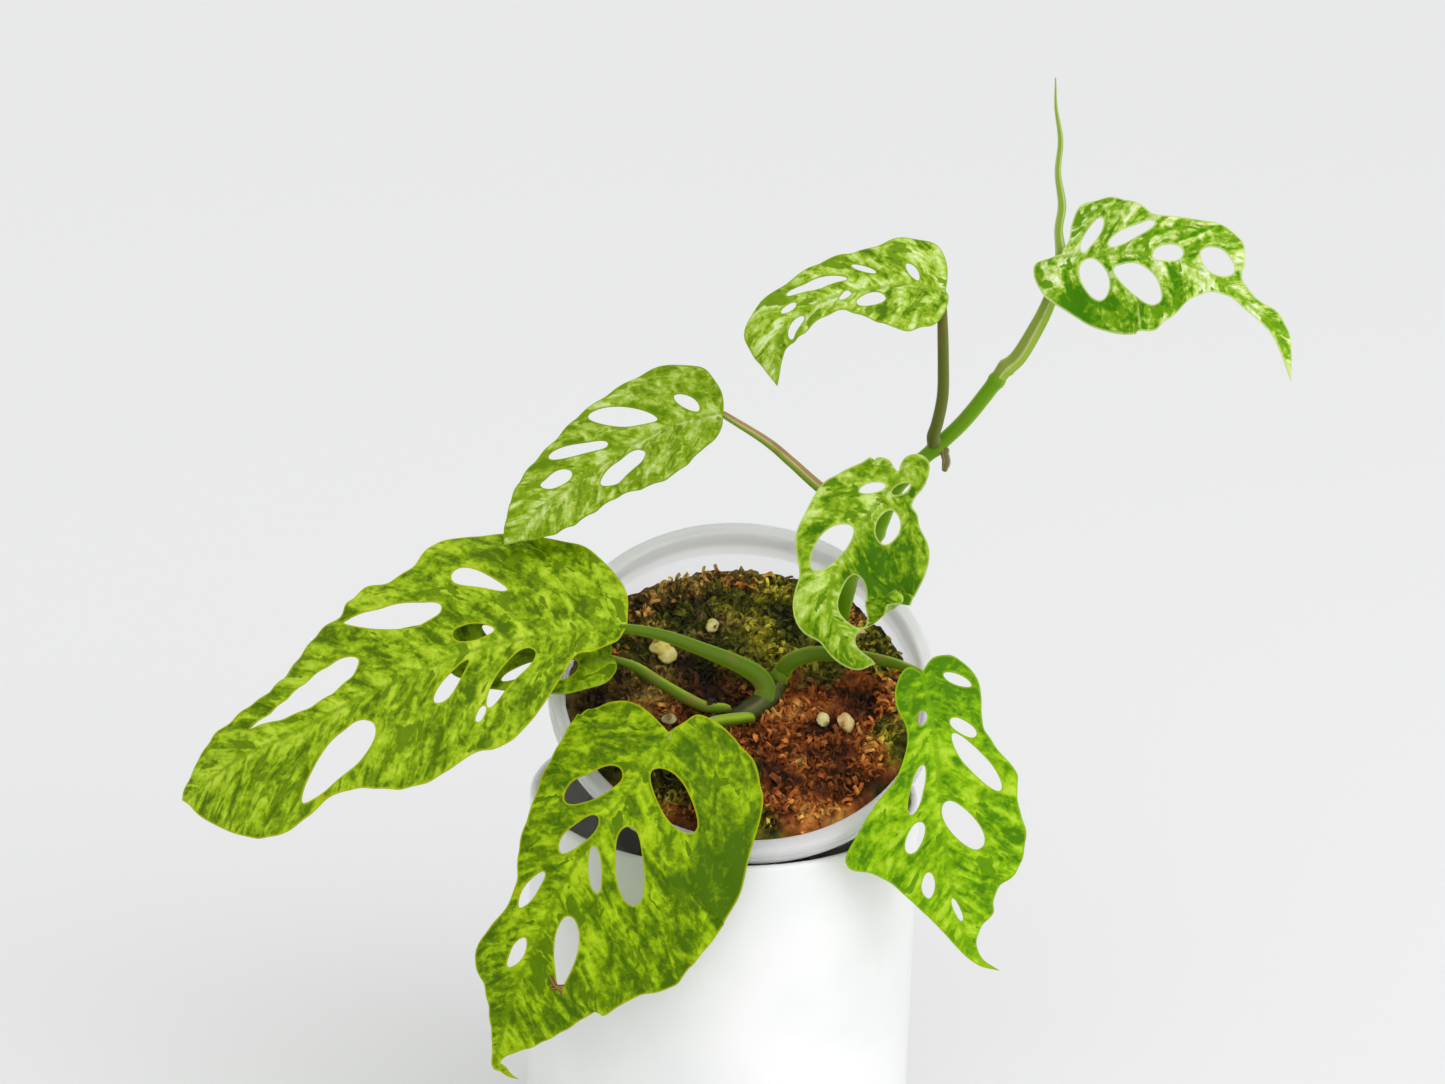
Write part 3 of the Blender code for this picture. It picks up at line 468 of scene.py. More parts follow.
def strand_tree():
    """Curled fibres set over a surface: named sizes in, one realised mesh out."""
    tree = bpy.data.node_groups.new("moss_strands", "GeometryNodeTree")
    face = tree.interface
    for name, kind, value in (
        ("Geometry", "Geometry", None),
        ("Density", "Float", 400000.0),
        ("Length", "Float", 0.006),
        ("Thickness", "Float", 0.0003),
        ("Seed", "Int", 4),
        ("Finish", "Material", None),
    ):
        socket = face.new_socket(name, in_out="INPUT", socket_type="NodeSocket" + kind)
        if value:
            socket.default_value = value
    face.new_socket("Geometry", in_out="OUTPUT", socket_type="NodeSocketGeometry")
    given = add_node(tree, "NodeGroupInput").outputs
    thickness = {"Radius": given["Thickness"]}
    ring = add_node(tree, "GeometryNodeCurvePrimitiveCircle", thickness, {"Resolution": 3})
    kinds = add_node(tree, "GeometryNodeGeometryToInstance")
    all_ways = add_node(tree, "ShaderNodeCombineXYZ", {axis: given["Length"] for axis in "XYZ"})
    for over, swing, rise in ((0.35, 0.25, 0.55), (0.1, -0.35, 0.8), (-0.45, 0.15, 0.45), (0.5, 0.55, 0.3)):
        bend = {
            "Resolution": 7,
            "Start": (0, 0, -0.12),
            "Start Handle": (swing * 0.5, over, rise * 0.5),
            "End Handle": (over, swing, rise),
            "End": (over * 1.3 + 0.2, swing * 0.4, rise * 0.55),
        }
        fibre = add_node(tree, "GeometryNodeCurvePrimitiveBezierSegment", None, bend).outputs["Curve"]
        size = {"Geometry": fibre, "Scale": all_ways.outputs[0]}
        sized = add_node(tree, "GeometryNodeTransform", size).outputs["Geometry"]
        section = {"Curve": sized, "Profile Curve": ring.outputs["Curve"]}
        solid = add_node(tree, "GeometryNodeCurveToMesh", section, {"Fill Caps": True})
        tree.links.new(solid.outputs["Mesh"], kinds.inputs[0])
    ground = {"Mesh": given["Geometry"], "Density": given["Density"], "Seed": given["Seed"]}
    spread = add_node(tree, "GeometryNodeDistributePointsOnFaces", ground).outputs
    seed = {"Seed": given["Seed"]}
    pick, swing, size = (
        add_node(tree, "FunctionNodeRandomValue", seed, ends, data_type=kind).outputs[place]
        for kind, ends, place in (
            ("INT", {4: 0, 5: 3}, 2),
            ("FLOAT_VECTOR", {0: (-1.0, -1.0, -3.14), 1: (1.0, 1.0, 3.14)}, 0),
            ("FLOAT", {2: 0.45, 3: 1.25}, 1),
        )
    )
    stand = {"Rotation": spread["Rotation"], "Rotate By": swing}
    turn = add_node(tree, "FunctionNodeRotateRotation", stand, rotation_space="LOCAL").outputs[0]
    seats = {"Points": spread["Points"], "Instance": kinds.outputs[0], "Instance Index": pick}
    seats |= {"Rotation": turn, "Scale": size}
    grow = add_node(tree, "GeometryNodeInstanceOnPoints", seats, {"Pick Instance": True}).outputs["Instances"]
    real = add_node(tree, "GeometryNodeRealizeInstances", {"Geometry": grow}).outputs["Geometry"]
    dressed = add_node(tree, "GeometryNodeSetMaterial", {"Geometry": real, "Material": given["Finish"]})
    add_node(tree, "NodeGroupOutput", {"Geometry": dressed.outputs["Geometry"]})
    return tree


strands = strand_tree()


def strands_on(name, ground, finish, **sizes):
    """Grows strands on a ground mesh with the tree, and puts them in the scene as a plain piece."""
    seat = bpy.data.objects.new(name + "_seat", ground)
    scene.collection.objects.link(seat)
    grown = seat.modifiers.new("strands", "NODES")
    grown.node_group = strands
    sizes["Finish"] = finish
    for item in strands.interface.items_tree:
        if item.in_out == "INPUT" and item.name in sizes:
            grown[item.identifier] = sizes[item.name]
    made = bpy.data.meshes.new_from_object(seat.evaluated_get(bpy.context.evaluated_depsgraph_get()))
    made.name = name
    bpy.data.objects.remove(seat)
    made.materials.clear()
    put(name, made, [finish])


def moss_patch(name, reach, keep):
    """The part of the moss bed's top that a test keeps, as ground for strands."""
    ground = bmesh.new()
    ground.from_mesh(moss_bed.data)
    back_in = into_frame.inverted()
    gone = []
    for found in ground.faces:
        spot = back_in @ found.calc_center_median() / MM
        far = math.hypot(spot.x, spot.y)
        level = moss_level(spot.x, spot.y)
        if spot.z < level - 4.5 or far > reach or not keep(spot.x, spot.y, far):
            gone.append(found)
    bmesh.ops.delete(ground, geom=gone, context="FACES")
    return mesh_of(ground, name)


def all_over(x, y, far):
    return True


def round_the_edge(x, y, far):
    return far > 41 and (y > 12 or x > 30 or y < -40)


for name, reach, keep, finish, density, length, thickness, seed in (
    ("moss_fibres", 49.0, all_over, loose_moss, 270000.0, 0.0045, 0.00042, 4),
    ("moss_flakes", 49.0, all_over, coarse_moss, 60000.0, 0.0052, 0.00085, 7),
    ("moss_curls", 50.5, round_the_edge, golden_moss, 230000.0, 0.0052, 0.00056, 9),
):
    ground = moss_patch(name + "_ground", reach, keep)
    strands_on(name, ground, finish, Density=density, Length=length, Thickness=thickness, Seed=seed)

# --- Chips ------------------------------------------------------------------------------------
# Pale crumbs of perlite and bark lie loose on the moss, from 4 to 9 mm across.
CHIPS = {
    "chip_twin": (-25.0, 14.0, 5.0, 3.6, 2.4, -50, "D6C25A"),
    "chip_back": (-10.0, 25.5, 2.6, 2.0, 1.6, 60, "C9BC72"),
    "chip_mid": (24.5, -10.0, 2.4, 2.0, 1.6, 90, "CFC383"),
    "chip_right": (31.5, -10.5, 3.4, 2.4, 1.9, -65, "D3A86A"),
    "chip_far": (35.5, 26.0, 2.8, 2.0, 1.6, 20, "CDBE74"),
    "chip_left": (-22.5, -12.5, 2.4, 1.8, 1.5, 10, "8F8458"),
}
for name, (x, y, long, wide, high, spin, code) in CHIPS.items():
    chip = bmesh.new()
    bmesh.ops.create_icosphere(chip, subdivisions=4, radius=1.0)
    for vert in chip.verts:
        at = vert.co * 1.3 + Vector((x, y, 0))
        waist = 1.0 - (0.28 * math.exp(-((vert.co.x / 0.28) ** 2)) if name == "chip_twin" else 0.0)
        vert.co *= (1.0 + 0.20 * noise.noise(at) + 0.07 * noise.noise(at * 3)) * waist
    seat = Matrix.Translation((x, y, moss_level(x, y) + high + 0.6))
    shape = Matrix.Rotation(math.radians(spin), 4, "Z") @ Matrix.Diagonal((long, wide, high, 1.0))
    chip.transform(Matrix.Scale(MM, 4) @ pot_frame @ seat @ shape)
    # Perlite and bark crumb: chalky, dry, with small stained pits.
    crumb, tree, shader, where = new_finish(name + "_crumb", Roughness=0.85)
    spots = {"Scale": 330.0, "Detail": 4.0}
    stain = add_node(tree, "ShaderNodeTexNoise", {"Vector": where}, spots).outputs["Fac"]
    stops = [(0.32, "6E4E1C"), (0.44, code), (0.68, "E6DC9E")]
    hue = add_node(tree, "ShaderNodeValToRGB", {"Fac": stain}, stops=stops)
    pits = add_node(tree, "ShaderNodeBump", {"Height": stain}, {"Strength": 0.6, "Distance": 0.0005})
    feed(tree, shader, Base_Color=hue.outputs["Color"], Normal=pits.outputs["Normal"])
    put(name + "_stone", mesh_of(chip, name), [crumb], [name], sharp=180.0)

# --- Leaves -----------------------------------------------------------------------------------
# Thin leathery blades with natural holes between the side veins, marbled in yellow-green over
# dark green. Each is given by its ribs, the midrib from a heel behind the stalk to the tip, in mm
# from an anchor; by how it faces and how its halves rise; by its outline; and by its holes, as
# along, out, half length, half width, turn, taper and bow.
edge_spot = math.radians(-115)
hang_spot = math.radians(-15)
DRAPE_ANCHOR = in_world(rim_radius * math.cos(edge_spot), rim_radius * math.sin(edge_spot), 0)
SIDE_ANCHOR = in_world(rim_radius * math.cos(hang_spot), rim_radius * math.sin(hang_spot), 0)
LEAVES = {}
LEAVES["leaf_long"] = dict(
    anchor=rim_centre,
    ribs=[
        (-33, -2.5, 18), (-38, -3.5, 18), (-56, -8.5, 17), (-82, -14.5, 13), (-113, -20.5, 0),
        (-136, -24.5, -12), (-152, -26.5, -20), (-168, -26.5, -34),
    ],
    face=[(-0.10, -0.55, 0.85), (-0.15, -0.55, 0.85), (-0.3, -0.5, 0.85)],
    fold=(-4, 6),
    curl=(-10, -6),
    sinus=(-2, 0),
    tip=(146, -1),
    left=[
        (3, 6), (10, 8), (16, 9), (22, 16), (29, 24), (36, 30), (46, 34), (57, 33), (68, 35),
        (77, 35), (86, 32), (95, 27), (103, 26), (110, 29), (117, 31), (126, 29), (133, 23),
        (138, 16), (142, 9), (144, 3),
    ],
    right=[
        (-3, -9), (-2, -17), (1, -25), (7, -32), (16, -36), (28, -41), (38, -43), (47, -43),
        (53, -38), (62, -35), (69, -37), (75, -35), (79, -31), (86, -30), (93, -26), (100, -22),
        (109, -17), (120, -15), (131, -12), (139, -8), (144, -4),
    ],
    holes=[
        (38, -24, 8.5, 3.0, -40, 0.6, 0), (65, -22, 15, 4.2, -20, -0.45, -1.2), (44, -6, 6, 3.0, -10, 0.3, 0),
        (55, 8, 8.5, 2.3, 35, 0.3, 0), (38, 12, 12.5, 3.0, 40, -0.3, 0.8), (50, 22, 3, 1.3, 45, 0, 0),
        (96, 16, 15.5, 5.4, 27, -0.4, 1.0), (98, -9.5, 19.5, 4.0, 7, -0.72, -1.2),
    ],
    wave=(1.0, 17.0),
    skin=("4F6C00", "76960A", "9AB91A", "B8D03C"),
    margin="A9B40A",
)
LEAVES["leaf_under"] = dict(
    anchor=rim_centre,
    ribs=[
        (-36, -0.5, 8), (-41, -2.5, 8), (-56, -6.5, 9), (-71, -6.5, 9.5), (-87, -3.5, 11), (-103, 1.5, 13),
    ],
    face=[(0.0, -0.5, 0.86), (0.0, -0.45, 0.88), (0.0, -0.45, 0.88)],
    fold=(2, 2),
    curl=(-6, -6),
    sinus=(0, 0),
    tip=(66, 0),
    left=[(-1, 3), (0, 7), (4, 11), (10, 14), (20, 16), (32, 16), (44, 13), (54, 8), (61, 3)],
    right=[(-1, -3), (0, -7), (3, -11), (9, -14), (20, -15), (32, -14), (44, -11), (54, -7), (61, -3)],
    holes=[
        (14, 6, 5, 2, 55, 0, 0), (27, 8, 6, 2.2, 45, 0, 0), (38, -6, 5, 2, -35, 0, 0),
        (22, -7, 5, 2, -45, 0, 0),
    ],
    wave=(0.4, 16.0),
    skin=("436000", "6E8C06", "8AA810", "A4C030"),
    margin="8AA810",
)
LEAVES["leaf_front"] = dict(
    anchor=DRAPE_ANCHOR,
    ribs=[
        (5, 11, 30), (3, 8, 26), (-1, 3, 21), (-10, -4, 11), (-18, -9, 2), (-28, -14, -15), (-36, -16, -35),
        (-40, -16, -45), (-46, -15, -69), (-44, -14, -73), (-41, -13, -76), (-36, -12, -78),
    ],
    face=[(-0.12, -0.85, 0.55), (-0.1, -0.95, 0.3), (-0.1, -0.99, 0.1)],
    fold=(-2, -12),
    curl=(-6, -14),
    sinus=(-2, -1),
    tip=(126, 0),
    left=[
        (-6, 2), (-10, 5), (-10, 11), (-8, 17), (-3, 26), (1, 32), (6, 36), (14, 40), (22, 44), (29, 46),
        (40, 46.5), (52, 45.5), (63, 44), (70, 42), (77, 33), (84, 27), (96, 19), (106, 10.5), (113, 2.5),
        (120, 1.3),
    ],
    right=[
        (-5, -7), (-7, -13), (-7, -19), (-4, -26), (0, -30), (6, -31), (13, -30), (22, -28), (30, -26),
        (39, -22), (51, -18), (61, -13), (69, -13), (76, -15), (82, -16), (88, -15), (94, -9), (103, -4.5),
        (112, -1.5), (120, -1),
    ],
    holes=[
        (25, -10, 9.5, 4.5, -25, 0, 0), (39, -4, 7.5, 3, -15, 0, 0), (14, 12, 11, 4.5, 70, 0, 0),
        (38, 14, 12.5, 4.5, 35, 0, 0), (45, 6, 7, 2, 35, 0, 0), (60, -8, 6.5, 2, -10, 0, 0),
        (72, 9, 11, 3.3, 15, -0.35, 0), (79, -4, 5.5, 2, -5, 0, 0),
    ],
    wave=(0.35, 20.0),
    skin=("466800", "668600", "8AAC06", "AAC81C"),
    margin="A6B206",
    plain=(22, 42, 19),
)
LEAVES["leaf_side"] = dict(
    anchor=SIDE_ANCHOR,
    ribs=[
        (-6, -6, 27), (-5, -9, 24), (-2, -20, 13), (0, -27, 0), (2, -30, -15), (5, -31, -33),
        (10, -32, -51), (15, -32, -59), (21, -33, -62),
    ],
    face=[(0.1, -0.9, 0.45), (0.15, -0.98, 0.2), (0.2, -1.0, 0.1)],
    fold=(-2, 2),
    curl=(-8, -8),
    sinus=(0, 0),
    tip=(100, 0),
    left=[
        (-3, 3), (-4, 7), (-2, 12), (4, 16), (11, 16), (19, 15), (23, 17), (27, 19), (35, 24), (43, 23.5),
        (50, 24.5), (56, 25), (64, 23), (69, 20), (72, 14), (76, 11.5), (80, 10.5), (84, 5), (90, 1.5),
    ],
    right=[
        (-2, -4), (2, -8), (9, -10), (18, -8), (24, -9), (32, -13), (38, -19), (44, -24), (52, -30),
        (56, -29.5), (58, -24), (62, -18), (70, -12), (78, -7), (86, -3.5), (94, -1.5),
    ],
    holes=[
        (4, 10, 4.5, 2, 55, 0, 0), (15, -3, 2.5, 1.5, -25, 0, 0), (19, 9, 4.5, 2, 55, 0, 0),
        (30, 12, 11.5, 3, 35, 0, 0), (36, -7, 7.5, 2, -20, 0, 0), (49, 6, 9.5, 4, 30, 0, 0),
        (50, -9, 5, 2.5, -30, 0, 0), (65, -7, 4, 2, -10, 0, 0), (75, 0, 4, 1, 10, 0, 0),
    ],
    wave=(0.5, 13.0),
    skin=("4C7E02", "74A406", "92BE0C", "B0D236"),
    margin="90B410",
    plain=(4, 0, 15),
)
LEAVES["leaf_back"] = dict(
    anchor=rim_centre,
    ribs=[(-4, 39.5, 75), (-9, 39.5, 74), (-27, 37.5, 69), (-49, 31.5, 56), (-63, 23.5, 47), (-75, 13.5, 37)],
    face=[(-0.15, -0.4, 0.9), (-0.2, -0.45, 0.85), (-0.35, -0.45, 0.8)],
    fold=(4, 6),
    curl=(-6, -6),
    sinus=(0, 1),
    tip=(82, 0),
    left=[
        (2, 9), (7, 15), (16, 20), (24, 22), (31, 21), (42, 17), (50, 16), (60, 16), (68, 14), (75, 9),
        (79, 4),
    ],
    right=[
        (-1, -6), (0, -13), (3, -20), (8, -24), (14, -26), (24, -24), (33, -23), (40, -22), (47, -19),
        (56, -16), (64, -13), (72, -8), (78, -4),
    ],
    holes=[
        (10, -7, 5.5, 2, -60, 0, 0), (28, -12, 11.5, 3.5, -45, 0, 0), (44, -10, 9, 2.5, -30, 0, 0),
        (37, 7, 9, 4, 10, 0, 0), (55, -5, 5, 3, -15, 0, 0),
    ],
    wave=(0.4, 16.0),
    skin=("618300", "84A416", "A8C24A", "CEDC90"),
    margin="7E9C14",
)
LEAVES["leaf_curled"] = dict(
    anchor=rim_centre,
    ribs=[
        (46, 15.5, 66), (45, 13.5, 63), (39, 9.5, 56), (32, 4.5, 47), (27, 1.5, 39), (25, -1.5, 31),
        (25, -3.5, 25), (28, -4.5, 19), (32, -6.5, 14), (40, -6.5, 9),
    ],
    face=[(-0.1, -0.85, 0.5), (0.0, -0.95, 0.25), (0.1, -1.0, 0.1)],
    fold=(0, 0),
    curl=(-4, -4),
    sinus=(-1, -1),
    tip=(70, 0),
    left=[
        (-6, 0), (-8, 3), (-8, 5.5), (-6, 8), (-1, 8.5), (2, 8), (5, 9), (6, 12), (9, 15), (12, 20),
        (15, 22.5), (20, 24.5), (27, 25.5), (34, 25.5), (41, 25), (48, 24), (55, 22), (61, 18.5),
        (63.5, 15), (62, 11), (59, 7.5),
        (58.5, 4.5), (61, 2), (65, 1), (68, 0.7),
    ],
    right=[
        (-4, -4), (-4, -8), (0, -10.5), (5, -12), (11, -15), (16, -17), (26, -16), (31, -15), (35, -12),
        (39, -10),
        (46, -11), (50, -10), (54, -7), (60, -6), (66, -4.5),
    ],
    holes=[
        (8, -4, 4, 1.5, -40, 0, 0), (3, 3, 3, 1.5, -25, 0, 0), (15, 7, 5.5, 3.5, 20, 0, 0),
        (29, -4, 8, 4, -15, 0, 0), (46, 7, 11.5, 4.2, 0, 0, 0),
    ],
    wave=(0.4, 12.0),
    skin=("3F6D00", "72980A", "98B82C", "C6DC7C"),
    margin="B8CC6A",
    plain=(33, 18, 15),
)
LEAVES["leaf_upper"] = dict(
    anchor=rim_centre,
    ribs=[
        (60, 21.5, 119), (56, 20.5, 120), (45, 17.5, 122), (36, 15.5, 121), (25, 13.5, 119), (14, 11.5, 114),
        (7, 8.5, 107), (7, 5.5, 93),
    ],
    face=[(0.05, -0.5, 0.85), (-0.15, -0.5, 0.85), (-0.6, -0.5, 0.5)],
    fold=(4, 4),
    curl=(-8, -8),
    sinus=(-1, 1),
    tip=(70, 0),
    left=[
        (-1, 4), (1, 10), (4, 15), (8, 18), (17, 20), (24, 15), (30, 10), (34, 7), (40, 7), (48, 8), (54, 7),
        (60, 3), (65, 1.5),
    ],
    right=[
        (-2, -8), (-1, -16), (2, -18.5), (9, -19), (16, -17), (22, -16), (37, -14), (46, -13), (51, -13),
        (56, -12), (59, -10), (64, -6),
    ],
    holes=[
        (9, -5, 3.5, 1.5, -70, 0, 0), (23, -8, 4, 1.5, -30, 0, 0), (37, -7, 8.5, 2, -10, 0, 0),
        (31, 1, 2.5, 1.5, 40, 0, 0), (24, 5, 4.5, 3, 10, 0, 0), (47, -4, 2.5, 1.5, 5, 0, 0),
        (50, 3.5, 5, 2, 20, 0, 0),
    ],
    wave=(0.5, 13.0),
    skin=("4E7600", "8AAC1C", "B2CE54", "DAECAA"),
    margin="8AA820",
)
LEAVES["leaf_top"] = dict(
    anchor=rim_centre,
    ribs=[
        (89, 35.5, 127), (93, 33.5, 128), (103, 29.5, 130), (119, 23.5, 132), (129, 19.5, 130),
        (137, 15.5, 127),
        (148, 10.5, 119), (155, 7.5, 112), (160, 5.5, 99),
    ],
    face=[(0.0, -0.6, 0.8), (0.2, -0.6, 0.75), (0.5, -0.6, 0.4)],
    fold=(10, -4),
    curl=(-16, -22),
    sinus=(-1, 1),
    tip=(88, 0),
    left=[
        (1, 6), (1, 11), (3, 18), (8, 20.5), (13, 21), (21, 18), (26, 14), (31, 15), (36, 17), (42, 18.5),
        (47, 17), (51, 12), (54, 5.5), (59, 3.4), (64, 3.8), (71, 4.8), (80, 3),
    ],
    right=[
        (-5, 0), (-9, -2), (-8, -8), (-3, -15), (5, -21), (14, -26), (25, -28), (34, -27.5), (40, -25),
        (45, -18), (47, -11), (50, -6), (56, -2.4), (65, -2), (76, -1.2),
    ],
    holes=[
        (8, 7, 6.5, 2, 70, 0, 0), (20, 7, 7.5, 2.5, 35, 0, 0), (32, 1, 4.5, 3, 30, 0, 0),
        (46, 5, 5.5, 4, -15, 0, 0), (11, -9, 8, 4, -65, 0, 0), (27, -11, 11.5, 4.5, -30, 0, 0),
    ],
    wave=(0.6, 14.0),
    skin=("428000", "7CA810", "BCD668", "ECF4CC"),
    margin="C8DA88",
    plain=(14, -19, 13),
)


def smooth(points, per):
    """A smooth curve through points, per steps to each span."""
    pts = [Vector(p) for p in points]
    pts = [2 * pts[0] - pts[1], *pts, 2 * pts[-1] - pts[-2]]
    line = []
    for p0, p1, p2, p3 in zip(pts, pts[1:], pts[2:], pts[3:]):
        span = interpolate_bezier(p1, p1 + (p2 - p0) / 6, p2 - (p3 - p1) / 6, p2, per + 1)
        line += span[:-1]
    return [*line, pts[-2]]


class Form:
    """A leaf's bent surface: x runs along the midrib from the stalk, y to the left of it, in mm."""

    def __init__(self, leaf):
        per = 12
        self.points = np.array(smooth([leaf["anchor"] + Vector(p) for p in leaf["ribs"]], per))
        spans = np.linalg.norm(np.diff(self.points, axis=0), axis=1)
        self.along = np.concatenate([[0.0], np.cumsum(spans)])
        self.along -= self.along[per]
        slopes = np.gradient(self.points, self.along, axis=0)
        self.slopes = slopes / np.linalg.norm(slopes, axis=1)[:, None]
        self.leaf = leaf

    def at(self, x, y):
        """The surface's points at arrays of x and y."""
        held = np.clip(x, self.along[0], self.along[-1])
        spot = np.stack([np.interp(held, self.along, self.points[:, k]) for k in range(3)], 1)
        ahead = np.stack([np.interp(held, self.along, self.slopes[:, k]) for k in range(3)], 1)
        ahead /= np.linalg.norm(ahead, axis=1)[:, None]
        spot += ahead * (x - held)[:, None]
        facing = np.array(self.leaf["face"])
        place_on = np.clip(x / self.along[-1], 0.0, 1.0) * (len(facing) - 1)
        up = np.stack([np.interp(place_on, range(len(facing)), facing[:, k]) for k in range(3)], 1)
        up -= (up * ahead).sum(1)[:, None] * ahead
        up /= np.linalg.norm(up, axis=1)[:, None]
        across = np.cross(up, ahead)
        rise = np.radians(np.where(y > 0, self.leaf["fold"][0], self.leaf["fold"][1]))
        curl = np.radians(np.where(y > 0, self.leaf["curl"][0], self.leaf["curl"][1])) / 30.0
        curl = np.where(curl == 0, 1e-6, curl)
        out = np.abs(y)
        flat = (np.sin(rise + curl * out) - np.sin(rise)) / curl
        lift = (np.cos(rise) - np.cos(rise + curl * out)) / curl
        return spot + across * (np.sign(y) * flat)[:, None] + up * lift[:, None]

    def normal(self, x, y):
        made = np.cross(
            self.at(x + 0.5, y) - self.at(x - 0.5, y), self.at(x, y + 0.5) - self.at(x, y - 0.5)
        )
        return made / np.linalg.norm(made, axis=1)[:, None]


def even(line, step):
    """Points a step apart on a line, without its last one."""
    pts = np.array([tuple(p)[:2] for p in line])
    runs = np.concatenate([[0.0], np.cumsum(np.linalg.norm(np.diff(pts, axis=0), axis=1))])
    marks = np.linspace(0.0, runs[-1], max(2, round(runs[-1] / step)) + 1)[:-1]
    return np.stack([np.interp(marks, runs, pts[:, 0]), np.interp(marks, runs, pts[:, 1])], 1)


def hole_ring(hole, step, grow=1.0):
    """A hole's outline: an ellipse that may be wider at one end and bowed to one side."""
    x, y, long, wide, turned_by, taper, bow = hole
    angles = np.linspace(0, math.tau, max(10, round(math.pi * (long + wide) / step)) + 1)[:-1]
    u = long * grow * np.cos(angles)
    v = wide * grow * np.sin(angles) * (1 + taper * np.cos(angles)) + bow * (u / long) ** 2
    v += 0.05 * wide * np.sin(3 * angles + x)
    c, s = math.cos(math.radians(turned_by)), math.sin(math.radians(turned_by))
    return np.stack([x + c * u - s * v, y + s * u + c * v], 1)


def within(points, ring):
    """Which points lie inside a closed ring."""
    x, y = points[:, 0:1], points[:, 1:2]
    x0, y0 = ring[:, 0][None], ring[:, 1][None]
    x1, y1 = np.roll(ring[:, 0], -1)[None], np.roll(ring[:, 1], -1)[None]
    crosses = (y0 > y) != (y1 > y)
    slope = np.where(y1 == y0, 1.0, y1 - y0)
    return (crosses & (x < (x1 - x0) * (y - y0) / slope + x0)).sum(1) % 2 == 1


def nearest(points, spots):
    """Each point's distance to the nearest of the spots."""
    found = np.full(len(points), 1e9)
    for start in range(0, len(spots), 64):
        part = spots[None, start : start + 64] - points[:, None]
        found = np.minimum(found, np.linalg.norm(part, axis=2).min(1))
    return found


BLADE = 0.45
BLADE_STEP = 1.5
RIM_SPACING = 1.1
VEIN_SPACING = 8.5


